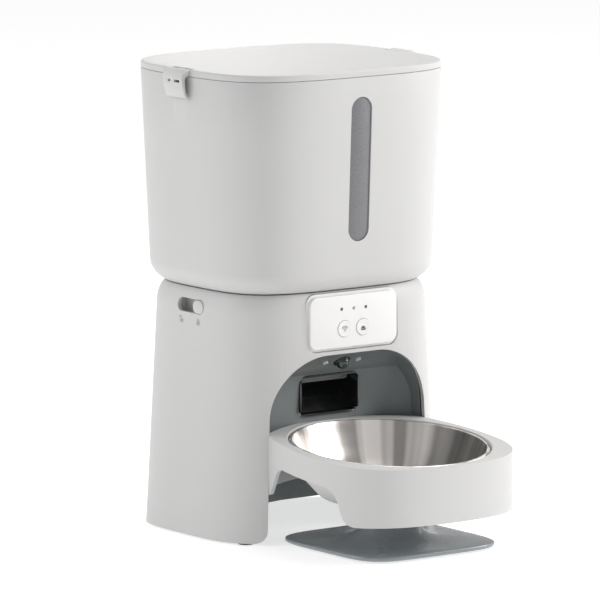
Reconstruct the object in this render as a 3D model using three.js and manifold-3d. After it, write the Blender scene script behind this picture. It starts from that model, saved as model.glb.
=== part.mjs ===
// Automatic pet feeder: a tapered food hopper with a clipped lid stands on a base whose front arch
// shelters a dispensing chute, and a tray with a steel bowl slides into the arch.
// Millimetres, +Z up, -Y is the front. The body axis is X = 0, Y = 0 while the pieces are made, and the
// whole group is moved at the end so that its origin is the centre of the footprint, on the floor.

import * as THREE from "three";
import { mergeVertices } from "three/addons/utils/BufferGeometryUtils.js";
import Module from "manifold-3d";

const wasm = await Module();
wasm.setup();

// ---------------------------------------------------------------- driving dimensions

const SIDES = 32; // facets round a soft-cornered section
const ROUND = 20; // facets round a turned piece
const ARCH_STEPS = 9; // facets in each corner of the arch
const GAP = 0.3; // between pieces that touch
const RUNNING_GAP = 0.5; // between pieces that move past each other

// Overall
const HEIGHT = 370; // floor to lid top
const SEAM_Z = 195.5; // base top, where the hopper stands
const SEAM_GAP = 1; // shadow line between base and hopper
const TOP = { width: 216.4, depth: 188.6, power: 3.53 }; // lid and hopper rim
const SEAM = { width: 184.4, depth: 155, power: 3.6 }; // base top and hopper foot
const FLOOR = { width: 213.2, depth: 170.6, power: 3.9 }; // base at the floor

// Base
const BASE_WALL = 3;
const SHOULDER = { out: 6, outFront: 4.5, drop: 17 }; // round shoulder under the seam
const ARCH = { halfWidth: 76, flare: 4, belowSeam: 49.5, cornerX: 52, cornerZ: 50, footRound: 10 };
const BOX_FLOOR_Z = 28; // underside of the mechanism box
const COVER_THICKNESS = 2.5;
const FOOT = { inX: 18.6, inY: 25.3, r: 6.5, thickness: 1.2, pad: 3 };

// Niche behind the arch
const LINER_WALL = 2.5;
const NICHE = { backLow: -45, lean: 6, slopeRun: 28, slopeDrop: 20, planOut: 8, planDepth: 31 };
const MOUTH = { width: 59, height: 32.6, corner: 8, belowSlope: 0.4 };
const TONGUE = { height: 5.6, corner: 2.5, in: 12.4, thickness: 1.6 }; // the flap inside the mouth's top edge
const DUCT_WALL = 1.6;
const DUCT_PROUD = 0.6; // the mouth's lip stands out of the niche
const LENS = { r: 6.8, downSlope: 11.7, proud: 1, length: 9, dome: 5.6, domeOut: 1 };
const LAMP = { r: 2.4, x: 16 };

// Dispensing rotor and its well
const WELL = { r: 48, depth: 38, wall: 2, flange: 12, behindNiche: 5 };
const ROTOR = { tipGap: 3, height: 31, hub: 10, paddles: 6, blade: 2.5 };
const SHAFT_R = 4;
const GEAR = { module: 1.25, teeth: 30, thickness: 6, dropBelowWell: 5 };
const PINION_TEETH = 10;
const MOTOR = { r: 15, gearboxR: 16.5, height: 46, gearboxHeight: 22, shaftR: 2.5 };

// Hopper
const HOPPER_WALL = 2.5;
const HOPPER_FOOT = { in: 10.2, rise: 16 }; // round foot above the seam
const FUNNEL = { rise: 44, lip: 6, wall: 2 };
const THROAT = { inWell: 4.5, wall: 2, reach: 5 }; // narrower than the well that it feeds
const WINDOW = { width: 20, aboveSeam: 39.5, belowTop: 21, recess: 0.8, thickness: 1.6 };

// Lid and latches
const LID = { band: 5.2, skin: 2.6, edge: 1.4, skirt: 8, skirtWall: 2, sealWidth: 3 };
const LATCH = { width: 26, drop: 22.4, out: 7, pivotIn: 2.7, pivotDrop: 2.7, knuckleR: 2.4, pinR: 1.1 };
const BEAD = { drop: 15, height: 2, proud: 0.8 };
const DESICCANT = { width: 76, depth: 56, height: 14, wall: 1.6 };

// Control panel
const PANEL = { width: 85, height: 41.4, belowSeam: 3.1, corner: 7, face: 1, wall: 1.8, plate: 2.4 };
const PANEL_DEPTH = 10; // face to back edge
const GROOVE = { width: 2, depth: 4.6 }; // round the panel's face
const BUTTON = { r: 6.6, spacing: 18, up: 14.8, proud: 0.6, travel: 1, flange: 1.2 };
const INDICATOR = { r: 1.1, spacing: 11.8, up: 30.5 };

// Lock slider on the left wall
const LOCK = { belowSeam: 13.5, length: 35, height: 11, knob: 13, plate: 1.8, housing: 8 };

// Batteries
const CELL = { r: 16.6, length: 61.5, count: 3, pitch: 34.6 };
const BATTERY_WALL = 2;

// Bowl and tray
const BOWL = { r: 78.4, depth: 45, wall: 1.2, fromNiche: 6.6, rimZ: 81, tilt: 4.8 };
const BOWL_CLEARANCE = 1.1; // rim to the hole in the tray
const TRAY = { rimSide: 9.6, rimFront: 5.6, inArch: 0.4, fromNiche: 4.5, bow: 24.5, wall: 2.5, plate: 3 };
const TRAY_EDGE = { side: 19.5, legTip: 40, rearSkirt: 45, skirt: 30, skirtBack: 30.5, drop: 42 };
const TRAY_PULL = { rear: 24, side: 44, flat: 10, corner: 66, nose: 0.7 }; // control points of its outline
const TUB_WALL = 2;
const PEDESTAL = { size: 134, power: 5, plate: 3.5, neckR: 24.5, topR: 37, rootR: 56, pad: 1 };

// ---------------------------------------------------------------- materials

function plastic(color, roughness = 0.55) {
  return new THREE.MeshStandardMaterial({ color, roughness, metalness: 0 });
}
const whitePlastic = plastic(0xe2e4e3);
const panelPlastic = plastic(0xf1f1f1, 0.45);
const darkPlastic = plastic(0x5b6062, 0.6);
const greyPlastic = plastic(0x7d878b, 0.55);
const blackPlastic = plastic(0x111314, 0.25);
const innerPlastic = plastic(0xc9ccca, 0.6);
const smokedWindow = plastic(0x838388, 0.4);
const rubber = plastic(0x3c3f40, 0.9);
const lensGlass = plastic(0x0a0c0d, 0.05);
const lampGlass = plastic(0xc8ccce, 0.2);
const circuitBoard = plastic(0x1f5a3a, 0.5);
const cellWrap = plastic(0x2f3a4a, 0.35);
const steel = new THREE.MeshStandardMaterial({ color: 0xb9b6b2, roughness: 0.25, metalness: 1 });
const gearPlastic = plastic(0xe9e4d2, 0.5);

// ---------------------------------------------------------------- solids

const feeder = new THREE.Group();
const body = new THREE.Group();
feeder.add(body);

// A closed three.js geometry as a solid that can be joined and cut.
function solid(geometry) {
  const bare = geometry.clone();
  bare.deleteAttribute("normal");
  bare.deleteAttribute("uv");
  const merged = mergeVertices(bare, 1e-4);
  return new wasm.Manifold(
    new wasm.Mesh({
      numProp: 3,
      vertProperties: new Float32Array(merged.attributes.position.array),
      triVerts: new Uint32Array(merged.index.array),
    }),
  );
}

function join(first, ...others) {
  return others.reduce((sum, next) => sum.add(next), first);
}

function cut(first, ...others) {
  return others.reduce((rest, next) => rest.subtract(next), first);
}

// Adds one named piece to the feeder.
function piece(name, shape, material) {
  const mesh = shape.getMesh();
  const count = mesh.vertProperties.length / mesh.numProp;
  const positions = new Float32Array(count * 3);
  for (let i = 0; i < count; i++) {
    positions.set(mesh.vertProperties.subarray(i * mesh.numProp, i * mesh.numProp + 3), i * 3);
  }
  const geometry = new THREE.BufferGeometry();
  geometry.setAttribute("position", new THREE.BufferAttribute(positions, 3));
  geometry.setIndex(new THREE.BufferAttribute(new Uint32Array(mesh.triVerts), 1));
  geometry.computeVertexNormals();
  const node = new THREE.Mesh(geometry, material);
  node.name = name;
  body.add(node);
}

function box(x0, x1, y0, y1, z0, z1) {
  const geometry = new THREE.BoxGeometry(x1 - x0, y1 - y0, z1 - z0);
  return solid(geometry.translate((x0 + x1) / 2, (y0 + y1) / 2, (z0 + z1) / 2));
}

// A round bar from one height to another.
function discZ(x, y, r, z0, z1, sides = ROUND) {
  const geometry = new THREE.CylinderGeometry(r, r, z1 - z0, sides);
  return solid(geometry.rotateX(Math.PI / 2).translate(x, y, (z0 + z1) / 2));
}

// A round bar along Y, from its back to its front.
function discY(x, z, r, yBack, yFront, sides = 16) {
  const geometry = new THREE.CylinderGeometry(r, r, yBack - yFront, sides);
  return solid(geometry.translate(x, (yBack + yFront) / 2, z));
}

// A flat outline in X and Z, run along Y from its back to its front.
function alongY(shape, yBack, yFront, curveSegments = 4) {
  const options = { depth: yBack - yFront, bevelEnabled: false, curveSegments };
  return solid(new THREE.ExtrudeGeometry(shape, options).rotateX(Math.PI / 2).translate(0, yBack, 0));
}

// A flat outline in Y and Z, run along X.
function alongX(shape, x0, x1, curveSegments = 4) {
  const options = { depth: x1 - x0, bevelEnabled: false, curveSegments };
  const geometry = new THREE.ExtrudeGeometry(shape, options);
  return solid(geometry.rotateX(Math.PI / 2).rotateZ(Math.PI / 2).translate(x0, 0, 0));
}

function alongZ(shape, z0, z1, curveSegments = 5) {
  const options = { depth: z1 - z0, bevelEnabled: false, curveSegments };
  return solid(new THREE.ExtrudeGeometry(shape, options).translate(0, 0, z0));
}

// A profile of [radius, height] points turned about Z.
function turned(points, sides = ROUND) {
  const profile = points.map(([r, z]) => new THREE.Vector2(r, z));
  return solid(new THREE.LatheGeometry(profile, sides).rotateX(Math.PI / 2));
}

function polygon(points) {
  return new THREE.Shape(points.map(([x, y]) => new THREE.Vector2(x, y)));
}

function roundedRectangle(x0, x1, y0, y1, r) {
  const shape = new THREE.Shape();
  shape.moveTo(x0 + r, y0);
  shape.lineTo(x1 - r, y0);
  shape.absarc(x1 - r, y0 + r, r, -Math.PI / 2, 0, false);
  shape.lineTo(x1, y1 - r);
  shape.absarc(x1 - r, y1 - r, r, 0, Math.PI / 2, false);
  shape.lineTo(x0 + r, y1);
  shape.absarc(x0 + r, y1 - r, r, Math.PI / 2, Math.PI, false);
  shape.lineTo(x0, y0 + r);
  shape.absarc(x0 + r, y0 + r, r, Math.PI, 1.5 * Math.PI, false);
  return shape;
}

// One level of a soft-cornered section: power 2 is an ellipse, more is squarer.
function level(z, halfWidth, halfDepth, power, y = 0) {
  return { z, halfWidth, halfDepth, power, y };
}

// A solid through the levels, lowest first: a cylinder whose rings take each level's outline.
function softLoft(levels) {
  const geometry = new THREE.CylinderGeometry(1, 1, 1, SIDES, levels.length - 1).rotateX(Math.PI / 2);
  const place = geometry.attributes.position;
  for (let i = 0; i < place.count; i++) {
    const at = levels[Math.round((place.getZ(i) + 0.5) * (levels.length - 1))];
    const x = place.getX(i);
    const y = place.getY(i);
    const share = Math.min(1, Math.hypot(x, y));
    const angle = Math.atan2(y, x);
    const across = Math.abs(Math.cos(angle)) / at.halfWidth;
    const along = Math.abs(Math.sin(angle)) / at.halfDepth;
    const reach = (share > 0.5 ? 1 : 0) / (across ** at.power + along ** at.power) ** (1 / at.power);
    place.setXYZ(i, reach * Math.cos(angle), at.y + reach * Math.sin(angle), at.z);
  }
  return solid(geometry);
}

function inset(at, amount, z = at.z) {
  return level(z, at.halfWidth - amount, at.halfDepth - amount, at.power, at.y);
}

function between(low, high, z) {
  const share = (z - low.z) / (high.z - low.z);
  const mix = (a, b) => a + (b - a) * share;
  return level(
    z,
    mix(low.halfWidth, high.halfWidth),
    mix(low.halfDepth, high.halfDepth),
    mix(low.power, high.power),
  );
}

// ---------------------------------------------------------------- sections of the two housings

const rotorY = NICHE.backLow + WELL.behindNiche + WELL.r; // the rotor's axis

const HALF = (size, z) => level(z, size.width / 2, size.depth / 2, size.power);
const floorLevel = HALF(FLOOR, 0);
const seamLevel = HALF(SEAM, SEAM_Z);
const shoulderZ = SEAM_Z - SHOULDER.drop;
const shoulderLevel = level(
  shoulderZ,
  seamLevel.halfWidth + SHOULDER.out,
  seamLevel.halfDepth + SHOULDER.outFront,
  SEAM.power,
);

// The shoulder and the hopper's foot are the first 60 degrees of an ellipse.
const ARC_END = Math.PI / 3;
const ARC_STEPS = 3;
function arcShare(step) {
  const angle = (ARC_END * step) / ARC_STEPS;
  return {
    inward: (1 - Math.cos(angle)) / (1 - Math.cos(ARC_END)),
    along: Math.sin(angle) / Math.sin(ARC_END),
  };
}

function baseOuter() {
  const levels = [floorLevel];
  for (let step = 0; step <= ARC_STEPS; step++) {
    const { inward, along } = arcShare(step);
    levels.push(
      level(
        shoulderZ + SHOULDER.drop * along,
        shoulderLevel.halfWidth - SHOULDER.out * inward,
        shoulderLevel.halfDepth - SHOULDER.outFront * inward,
        SEAM.power,
      ),
    );
  }
  return levels;
}

const baseInnerTop = SEAM_Z - BASE_WALL;
function baseCavity(clearance, bottom) {
  const low = between(floorLevel, shoulderLevel, bottom);
  return softLoft([
    inset(low, BASE_WALL + clearance),
    inset(shoulderLevel, BASE_WALL + clearance),
    inset(seamLevel, BASE_WALL + clearance, baseInnerTop - clearance),
  ]);
}

const hopperBottom = SEAM_Z + SEAM_GAP;
const lidBottom = HEIGHT - LID.band;
const hopperTop = lidBottom - GAP;
const rimLevel = HALF(TOP, hopperTop);
const footZ = hopperBottom + HOPPER_FOOT.rise;
const footLevel = level(
  footZ,
  seamLevel.halfWidth + HOPPER_FOOT.in,
  seamLevel.halfDepth + HOPPER_FOOT.in,
  (TOP.power + SEAM.power) / 2,
);
const sideAt = (z) => between(footLevel, rimLevel, z);

function hopperLevels(amount, top = hopperTop) {
  const levels = [];
  for (let step = ARC_STEPS; step > 0; step--) {
    const { inward, along } = arcShare(step);
    levels.push(inset(footLevel, amount + HOPPER_FOOT.in * inward, footZ - HOPPER_FOOT.rise * along));
  }
  levels.push(inset(footLevel, amount), inset(sideAt(top), amount));
  return levels;
}

// ---------------------------------------------------------------- arch and niche

const archTop = SEAM_Z - ARCH.belowSeam;
const nicheBackHigh = NICHE.backLow - NICHE.lean;
const slopeTopY = nicheBackHigh - NICHE.slopeRun;
const slopeBottomZ = archTop - NICHE.slopeDrop;

// The arch outline in X and Z: legs that flare to the floor and a soft top.
function archShape(amount, bottom) {
  const half = ARCH.halfWidth - amount;
  const foot = half + ARCH.flare;
  const top = archTop - amount;
  const spring = top - ARCH.cornerZ;
  const shape = new THREE.Shape();
  shape.moveTo(-foot, bottom);
  shape.lineTo(foot, bottom);
  shape.lineTo(half, spring);
  shape.absellipse(half - ARCH.cornerX, spring, ARCH.cornerX, ARCH.cornerZ, 0, Math.PI / 2, false);
  shape.lineTo(-half + ARCH.cornerX, top);
  shape.absellipse(ARCH.cornerX - half, spring, ARCH.cornerX, ARCH.cornerZ, Math.PI / 2, Math.PI, false);
  return shape;
}

const WAY_FRONT = -FLOOR.depth; // well clear of the front wall

// What rounds the lower front corner of a leg of the arch.
function legRounding(side) {
  const r = ARCH.footRound;
  const spring = archTop - ARCH.cornerZ;
  const z = FOOT.thickness + r;
  const edge = ARCH.halfWidth + (ARCH.flare * (spring - z)) / (spring + 5);
  const points = [[side * (edge - 2), z], [side * (edge - 2), -5], [side * (edge + r), -5]];
  for (let k = 0; k <= 5; k++) {
    const angle = -Math.PI * (0.5 + k / 10);
    points.push([side * (edge + r + r * Math.cos(angle)), z + r * Math.sin(angle)]);
  }
  return alongY(polygon(points), nicheBackHigh - 4, WAY_FRONT);
}

// The hollow behind the arch, smaller by an amount: arch outline, curved plan and sloped roof together.
// At 0 it is the face that shows, and the liner's wall lies outside it.
function niche(amount, bottom) {
  const roofTop = archTop + 4;
  const side = polygon([
    [WAY_FRONT, bottom],
    [NICHE.backLow - amount, bottom],
    [nicheBackHigh - amount, slopeBottomZ - amount],
    [slopeTopY - amount, archTop - amount],
    [WAY_FRONT, roofTop],
  ]);
  const planY = NICHE.backLow - NICHE.planDepth;
  const planHalf = ARCH.halfWidth + NICHE.planOut;
  const depth = (z) => level(z, planHalf - amount, NICHE.planDepth - amount, 3, planY);
  const curved = softLoft([depth(bottom), depth(roofTop)]);
  const ahead = box(-planHalf, planHalf, WAY_FRONT, planY, bottom, roofTop);
  return alongY(archShape(amount, bottom), NICHE.backLow + 5, WAY_FRONT, ARCH_STEPS)
    .intersect(alongX(side, -120, 120))
    .intersect(join(curved, ahead));
}

const mouthTop = slopeBottomZ - MOUTH.belowSlope;
const mouthBottom = mouthTop - MOUTH.height;
function mouthHole(clearance) {
  const half = MOUTH.width / 2 - clearance;
  const corner = MOUTH.corner - clearance;
  return roundedRectangle(-half, half, mouthBottom + clearance, mouthTop - clearance, corner);
}

// Axis of the lens: square to the sloped roof of the niche.
const slopeAngle = Math.atan2(NICHE.slopeDrop, NICHE.slopeRun);
function onSlope(x, r, outward, inward) {
  const y = slopeTopY + LENS.downSlope;
  const z = archTop - (LENS.downSlope * NICHE.slopeDrop) / NICHE.slopeRun;
  const geometry = new THREE.CylinderGeometry(r, r, outward + inward, 16);
  geometry.rotateX(Math.PI / 2); // along Z, inward is +Z
  geometry.translate(0, 0, (inward - outward) / 2);
  geometry.rotateX(-slopeAngle);
  return solid(geometry.translate(x, y, z));
}

// The ball of the wide-angle lens, its centre a little way out of the roof.
function lensDome() {
  const geometry = new THREE.SphereGeometry(LENS.dome, 24, 16);
  geometry.translate(0, 0, -LENS.domeOut);
  geometry.rotateX(-slopeAngle);
  const z = archTop - (LENS.downSlope * NICHE.slopeDrop) / NICHE.slopeRun;
  return solid(geometry.translate(0, slopeTopY + LENS.downSlope, z));
}

function makeNiche() {
  const lens = onSlope(0, LENS.r + GAP, 20, 20);
  const lamps = [-1, 1].map((side) => onSlope(side * LAMP.x, LAMP.r + GAP, 20, 20));
  const shell = cut(niche(-LINER_WALL, BOX_FLOOR_Z).intersect(baseCavity(GAP, 1)), niche(0, 0));
  const trimmed = cut(shell, alongY(mouthHole(0), NICHE.backLow + 10, WAY_FRONT), lens, ...lamps);
  piece("niche_liner", trimmed, darkPlastic);
  piece("camera_lens", join(onSlope(0, LENS.r, LENS.proud, LENS.length), lensDome()), lensGlass);
  piece("infrared_left", onSlope(-LAMP.x, LAMP.r, LENS.proud, LENS.length), lampGlass);
  piece("infrared_right", onSlope(LAMP.x, LAMP.r, LENS.proud, LENS.length), lampGlass);
}

// ---------------------------------------------------------------- chute

const wellTop = baseInnerTop - GAP;
const wellFloor = wellTop - WELL.depth;
const ductFront = nicheBackHigh - DUCT_PROUD;
const ductBack = rotorY - GEAR.module * (GEAR.teeth / 2 + 1) - 2;
const ductTopFront = rotorY - WELL.r;

function ductSide(amount, front, top) {
  const low = mouthBottom + GAP + amount;
  const high = mouthTop - GAP - amount;
  return polygon([
    [front, low],
    [ductFront + 8, low],
    [ductBack - amount, low + 26],
    [ductBack - amount, top],
    [ductTopFront + amount, top],
    [ductTopFront + amount, high],
    [front, high],
  ]);
}

function makeChute() {
  const half = MOUTH.width / 2 - GAP;
  const top = wellFloor - WELL.wall - GAP;
  const outer = alongX(ductSide(0, ductFront, top), -half, half);
  const inner = alongX(ductSide(DUCT_WALL, ductFront - 10, top + 10), DUCT_WALL - half, half - DUCT_WALL);
  const collar = join(
    alongY(mouthHole(GAP), ductTopFront + 5, WAY_FRONT),
    box(-half - 1, half + 1, ductTopFront - 3, 60, 0, top + 1),
  );
  piece("chute_duct", cut(outer, inner).intersect(collar), blackPlastic);

  const tongueHalf = half - DUCT_WALL - 1;
  const tongueTop = mouthTop - DUCT_WALL - 2 * GAP;
  const tongue = roundedRectangle(-tongueHalf, tongueHalf, tongueTop - TONGUE.height, tongueTop, TONGUE.corner);
  piece("chute_baffle", alongY(tongue, ductFront + TONGUE.in + TONGUE.thickness, ductFront + TONGUE.in), darkPlastic);
}

// ---------------------------------------------------------------- rotor, gears and motor

// A spur gear outline: each tooth is a tapered block with its root and tip on circles.
function gearShape(teeth, phase) {
  const pitchR = (GEAR.module * teeth) / 2;
  const tip = pitchR + 0.85 * GEAR.module;
  const root = pitchR - 1.15 * GEAR.module;
  const pitchAngle = (2 * Math.PI) / teeth;
  const points = [];
  for (let k = 0; k < teeth; k++) {
    const middle = phase + k * pitchAngle;
    for (const [r, share] of [[root, -0.31], [tip, -0.1], [tip, 0.1], [root, 0.31]]) {
      const angle = middle + share * pitchAngle;
      points.push([r * Math.cos(angle), r * Math.sin(angle)]);
    }
  }
  return polygon(points);
}

const gearTop = wellFloor - WELL.wall - GEAR.dropBelowWell;
const gearBottom = gearTop - GEAR.thickness;
const pinionY = rotorY + (GEAR.module * (GEAR.teeth + PINION_TEETH)) / 2 + 0.15;
const bracketTop = gearBottom - 4;
const bracketBottom = bracketTop - 2.5;

function makeDrive() {
  const wellOuter = WELL.r + WELL.wall;
  const flangeBottom = wellTop - 3;
  const shaftHole = SHAFT_R + RUNNING_GAP;
  const deck = turned([
    [shaftHole, wellFloor - WELL.wall],
    [wellOuter, wellFloor - WELL.wall],
    [wellOuter, flangeBottom],
    [WELL.r + WELL.flange, flangeBottom],
    [WELL.r + WELL.flange, wellTop],
    [WELL.r, wellTop],
    [WELL.r, wellFloor],
    [shaftHole, wellFloor],
    [shaftHole, wellFloor - WELL.wall],
  ], SIDES).translate([0, rotorY, 0]).intersect(baseCavity(GAP, bracketBottom));
  const dropFront = ductTopFront + DUCT_WALL + 1;
  const drop = box(-20, 20, dropFront, ductBack - DUCT_WALL - 1, wellFloor - 5, wellFloor + 5);
  const reach = discZ(0, rotorY, WELL.r - 2.5, wellFloor - 6, wellFloor + 6, SIDES);
  piece("dispenser_deck", cut(deck, drop.intersect(reach)), innerPlastic);

  const rotorR = WELL.r - ROTOR.tipGap;
  const rotorBottom = wellFloor + 2;
  const rotorTop = rotorBottom + ROTOR.height;
  let rotor = turned([
    [0, rotorBottom],
    [ROTOR.hub, rotorBottom],
    [ROTOR.hub, rotorTop - 6],
    [ROTOR.hub * 0.5, rotorTop],
    [0, rotorTop],
  ]);
  for (let k = 0; k < ROTOR.paddles; k++) {
    const blade = box(ROTOR.hub - 3, rotorR, -ROTOR.blade / 2, ROTOR.blade / 2, rotorBottom, rotorTop - 3);
    rotor = rotor.add(blade.rotate([0, 0, 30 + (360 * k) / ROTOR.paddles]));
  }
  const socketTop = rotorBottom + 10;
  rotor = cut(rotor, discZ(0, 0, SHAFT_R + GAP, rotorBottom - 5, socketTop));
  piece("food_rotor", rotor.translate([0, rotorY, 0]), greyPlastic);

  const shaft = discZ(0, rotorY, SHAFT_R, bracketTop + GAP, socketTop - GAP);
  piece("rotor_shaft", shaft, steel);

  const gear = cut(
    alongZ(gearShape(GEAR.teeth, Math.PI / 2), gearBottom, gearTop),
    discZ(0, 0, SHAFT_R + GAP, gearBottom - 1, gearTop + 1),
  );
  piece("drive_gear", gear.translate([0, rotorY, 0]), gearPlastic);

  const halfTooth = Math.PI / PINION_TEETH;
  const pinion = join(
    alongZ(gearShape(PINION_TEETH, -Math.PI / 2 + halfTooth), gearBottom, gearTop),
    discZ(0, 0, MOTOR.shaftR, bracketBottom, gearBottom + 1),
  );
  piece("motor_pinion", pinion.translate([0, pinionY, 0]), gearPlastic);

  const bracketHalf = 27;
  const postTop = wellFloor - WELL.wall - GAP;
  const posts = [-1, 1].flatMap((side) =>
    [rotorY - 10, pinionY].map((y) => discZ(side * (bracketHalf - 4), y, 3, bracketTop - 1, postTop, 16)),
  );
  const bracket = join(
    box(-bracketHalf, bracketHalf, ductBack + 2, pinionY + 20, bracketBottom, bracketTop),
    ...posts,
  );
  const shaftWay = discZ(0, pinionY, MOTOR.shaftR + RUNNING_GAP, bracketBottom - 1, bracketTop + 1);
  piece("motor_bracket", cut(bracket, shaftWay), innerPlastic);

  const motorTop = bracketBottom - GAP;
  const gearboxBottom = motorTop - MOTOR.gearboxHeight;
  const motor = join(
    discZ(0, pinionY, MOTOR.gearboxR, gearboxBottom, motorTop),
    discZ(0, pinionY, MOTOR.r, motorTop - MOTOR.height, gearboxBottom + 1),
    discZ(0, pinionY, 4, motorTop - MOTOR.height - 2, motorTop - MOTOR.height + 1),
  );
  piece("gear_motor", motor, steel);
}

// ---------------------------------------------------------------- control panel

const panelFrontY = -(shoulderLevel.halfDepth + PANEL.face);
const panelTop = SEAM_Z - PANEL.belowSeam;
const panelBottom = panelTop - PANEL.height;
const buttonZ = panelBottom + BUTTON.up;
const indicatorZ = panelBottom + INDICATOR.up;
function panelShape(amount) {
  const half = PANEL.width / 2 - amount;
  const corner = PANEL.corner - amount;
  return roundedRectangle(-half, half, panelBottom + amount, panelTop - amount, corner);
}

function makePanel() {
  const plateBack = panelFrontY + PANEL.plate;
  const back = panelFrontY + PANEL_DEPTH;
  const buttonX = [-BUTTON.spacing / 2, BUTTON.spacing / 2];
  const lightX = [-INDICATOR.spacing, 0, INDICATOR.spacing];
  const panel = cut(
    join(
      alongY(panelShape(0), back, panelFrontY),
      alongY(panelShape(-GROOVE.width), back, panelFrontY + PANEL.face + GROOVE.depth),
    ),
    alongY(panelShape(PANEL.wall), back + 5, plateBack),
    ...buttonX.map((x) => discY(x, buttonZ, BUTTON.r + GAP, back, panelFrontY - 5)),
    ...lightX.map((x) => discY(x, indicatorZ, INDICATOR.r + GAP, back, panelFrontY - 5, 10)),
  );
  piece("control_panel", panel, panelPlastic);

  const flangeFront = plateBack + GAP;
  const stemBack = flangeFront + BUTTON.flange + 1.6;
  const boardFront = stemBack + BUTTON.travel + GAP;
  ["wifi_button", "feed_button"].forEach((name, i) => {
    const button = join(
      discY(buttonX[i], buttonZ, BUTTON.r, flangeFront + 0.5, panelFrontY - BUTTON.proud, 18),
      discY(buttonX[i], buttonZ, BUTTON.r + 1.4, flangeFront + BUTTON.flange, flangeFront),
      discY(buttonX[i], buttonZ, 2, stemBack, flangeFront + 0.5, 12),
    );
    piece(name, button, panelPlastic);
  });
  ["indicator_left", "indicator_middle", "indicator_right"].forEach((name, i) => {
    const light = discY(lightX[i], indicatorZ, INDICATOR.r, boardFront - GAP, panelFrontY - 0.1, 10);
    piece(name, light, lampGlass);
  });
  const margin = PANEL.wall + 1.5;
  const board = roundedRectangle(
    margin - PANEL.width / 2, PANEL.width / 2 - margin, panelBottom + margin, panelTop - margin, 3);
  piece("panel_board", alongY(board, boardFront + 1.6, boardFront), circuitBoard);
}

// ---------------------------------------------------------------- lock slider

const lockZ = SEAM_Z - LOCK.belowSeam;
const lockWallX = -shoulderLevel.halfWidth; // outer face of the left wall by the slider
const lockInnerX = lockWallX + BASE_WALL + 1.5; // the wall leans in above the shoulder's start
function lockSlot(amount) {
  const low = lockZ - LOCK.height / 2 - amount;
  return roundedRectangle(
    -LOCK.length / 2 - amount, LOCK.length / 2 + amount, low, low + LOCK.height + 2 * amount,
    LOCK.height / 2 - 0.01 + amount);
}

const lockHousingHalf = LOCK.length / 2 + 5;
function lockBlock(amount) {
  const high = lockZ + LOCK.housing + amount;
  return box(lockInnerX - amount, lockInnerX + LOCK.housing + amount, -lockHousingHalf - amount,
    lockHousingHalf + amount, lockZ - LOCK.housing - amount - 1, high);
}

function makeLock() {
  const plateHalf = LOCK.height / 2 + 1.4;
  const knobFront = -LOCK.length / 2 + RUNNING_GAP;
  const low = lockZ - LOCK.height / 2 + RUNNING_GAP;
  const knobShape = roundedRectangle(knobFront, knobFront + LOCK.knob, low, low + LOCK.height - 1, 4.5);
  const plateShape = roundedRectangle(
    knobFront - 1.2, knobFront + LOCK.knob + 1.2, lockZ - plateHalf, lockZ + plateHalf, 1.5);
  const plateX = lockInnerX + RUNNING_GAP;
  const slider = join(
    alongX(knobShape, lockWallX - 0.4, plateX + 1),
    alongX(plateShape, plateX, plateX + LOCK.plate),
  );
  piece("lock_slider", slider, whitePlastic);

  const innerX = lockInnerX + LOCK.housing - 2;
  const housing = cut(
    lockBlock(0),
    box(lockInnerX - 1, innerX, 2 - lockHousingHalf, lockHousingHalf - 2, lockZ - 7.4, lockZ + 7.4),
  );
  piece("lock_housing", housing, innerPlastic);
}

// ---------------------------------------------------------------- base housing

const POST = { r: 5, y: 35, height: 24, bite: 0.8 }; // screw posts that grow out of the side walls
const postWall = between(floorLevel, shoulderLevel, BOX_FLOOR_Z + POST.height).halfWidth - BASE_WALL;
const postX = postWall - POST.r + POST.bite;
const SCREW = { r: 1.5, headR: 3, head: 1.5, length: 12 };

function baseScrew(x, y, z) {
  return join(
    discZ(x, y, SCREW.headR, z - SCREW.head, z + 0.01, 12),
    discZ(x, y, SCREW.r, z, z + SCREW.length, 10),
  );
}

function makeBase() {
  const footX = FLOOR.width / 2 - FOOT.inX;
  const footY = FLOOR.depth / 2 - FOOT.inY;
  const feet = [-1, 1].flatMap((sx) => [-1, 1].map((sy) => [sx * footX, sy * footY]));
  const outer = softLoft(baseOuter());
  const floorCut = box(-200, 200, -200, 200, -1, FOOT.thickness);
  const bottomZ = FOOT.thickness + GAP;
  const gussets = feet.map(([x, y]) =>
    discZ(x, y, FOOT.r + 2, bottomZ, bottomZ + FOOT.pad, 14).intersect(outer),
  );
  const posts = [-1, 1].flatMap((sx) =>
    [-1, 1].map((sy) => {
      const post = discZ(sx * postX, sy * POST.y, POST.r, BOX_FLOOR_Z + COVER_THICKNESS + GAP,
        BOX_FLOOR_Z + POST.height, 16);
      return cut(post.intersect(outer), baseScrew(sx * postX, sy * POST.y, BOX_FLOOR_Z - 2)
        .add(discZ(sx * postX, sy * POST.y, SCREW.r + GAP, 0, BOX_FLOOR_Z + SCREW.length + 1, 10)));
    }),
  );
  const inletHole = discY(INLET.x, INLET.z, INLET.r + GAP, 120, 60);
  const walls = cut(
    outer,
    baseCavity(0, -1),
    floorCut,
    alongY(archShape(0, -5), nicheBackHigh - 4, WAY_FRONT, ARCH_STEPS),
    legRounding(-1),
    legRounding(1),
    alongY(panelShape(-GROOVE.width - GAP), panelFrontY + PANEL_DEPTH + 1, WAY_FRONT),
    alongX(lockSlot(0), lockWallX - 20, lockWallX + 20),
    lockBlock(GAP),
    discZ(0, rotorY, WELL.r + 1, baseInnerTop - 5, SEAM_Z + 5),
    inletHole,
  );
  piece("base_shell", join(walls, ...gussets, ...posts), whitePlastic);
  feet.forEach(([x, y], i) => {
    piece(`rubber_foot_${i + 1}`, discZ(x, y, FOOT.r, 0, FOOT.thickness, 14), rubber);
  });
}

// ---------------------------------------------------------------- mechanism box, batteries and electronics

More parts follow.
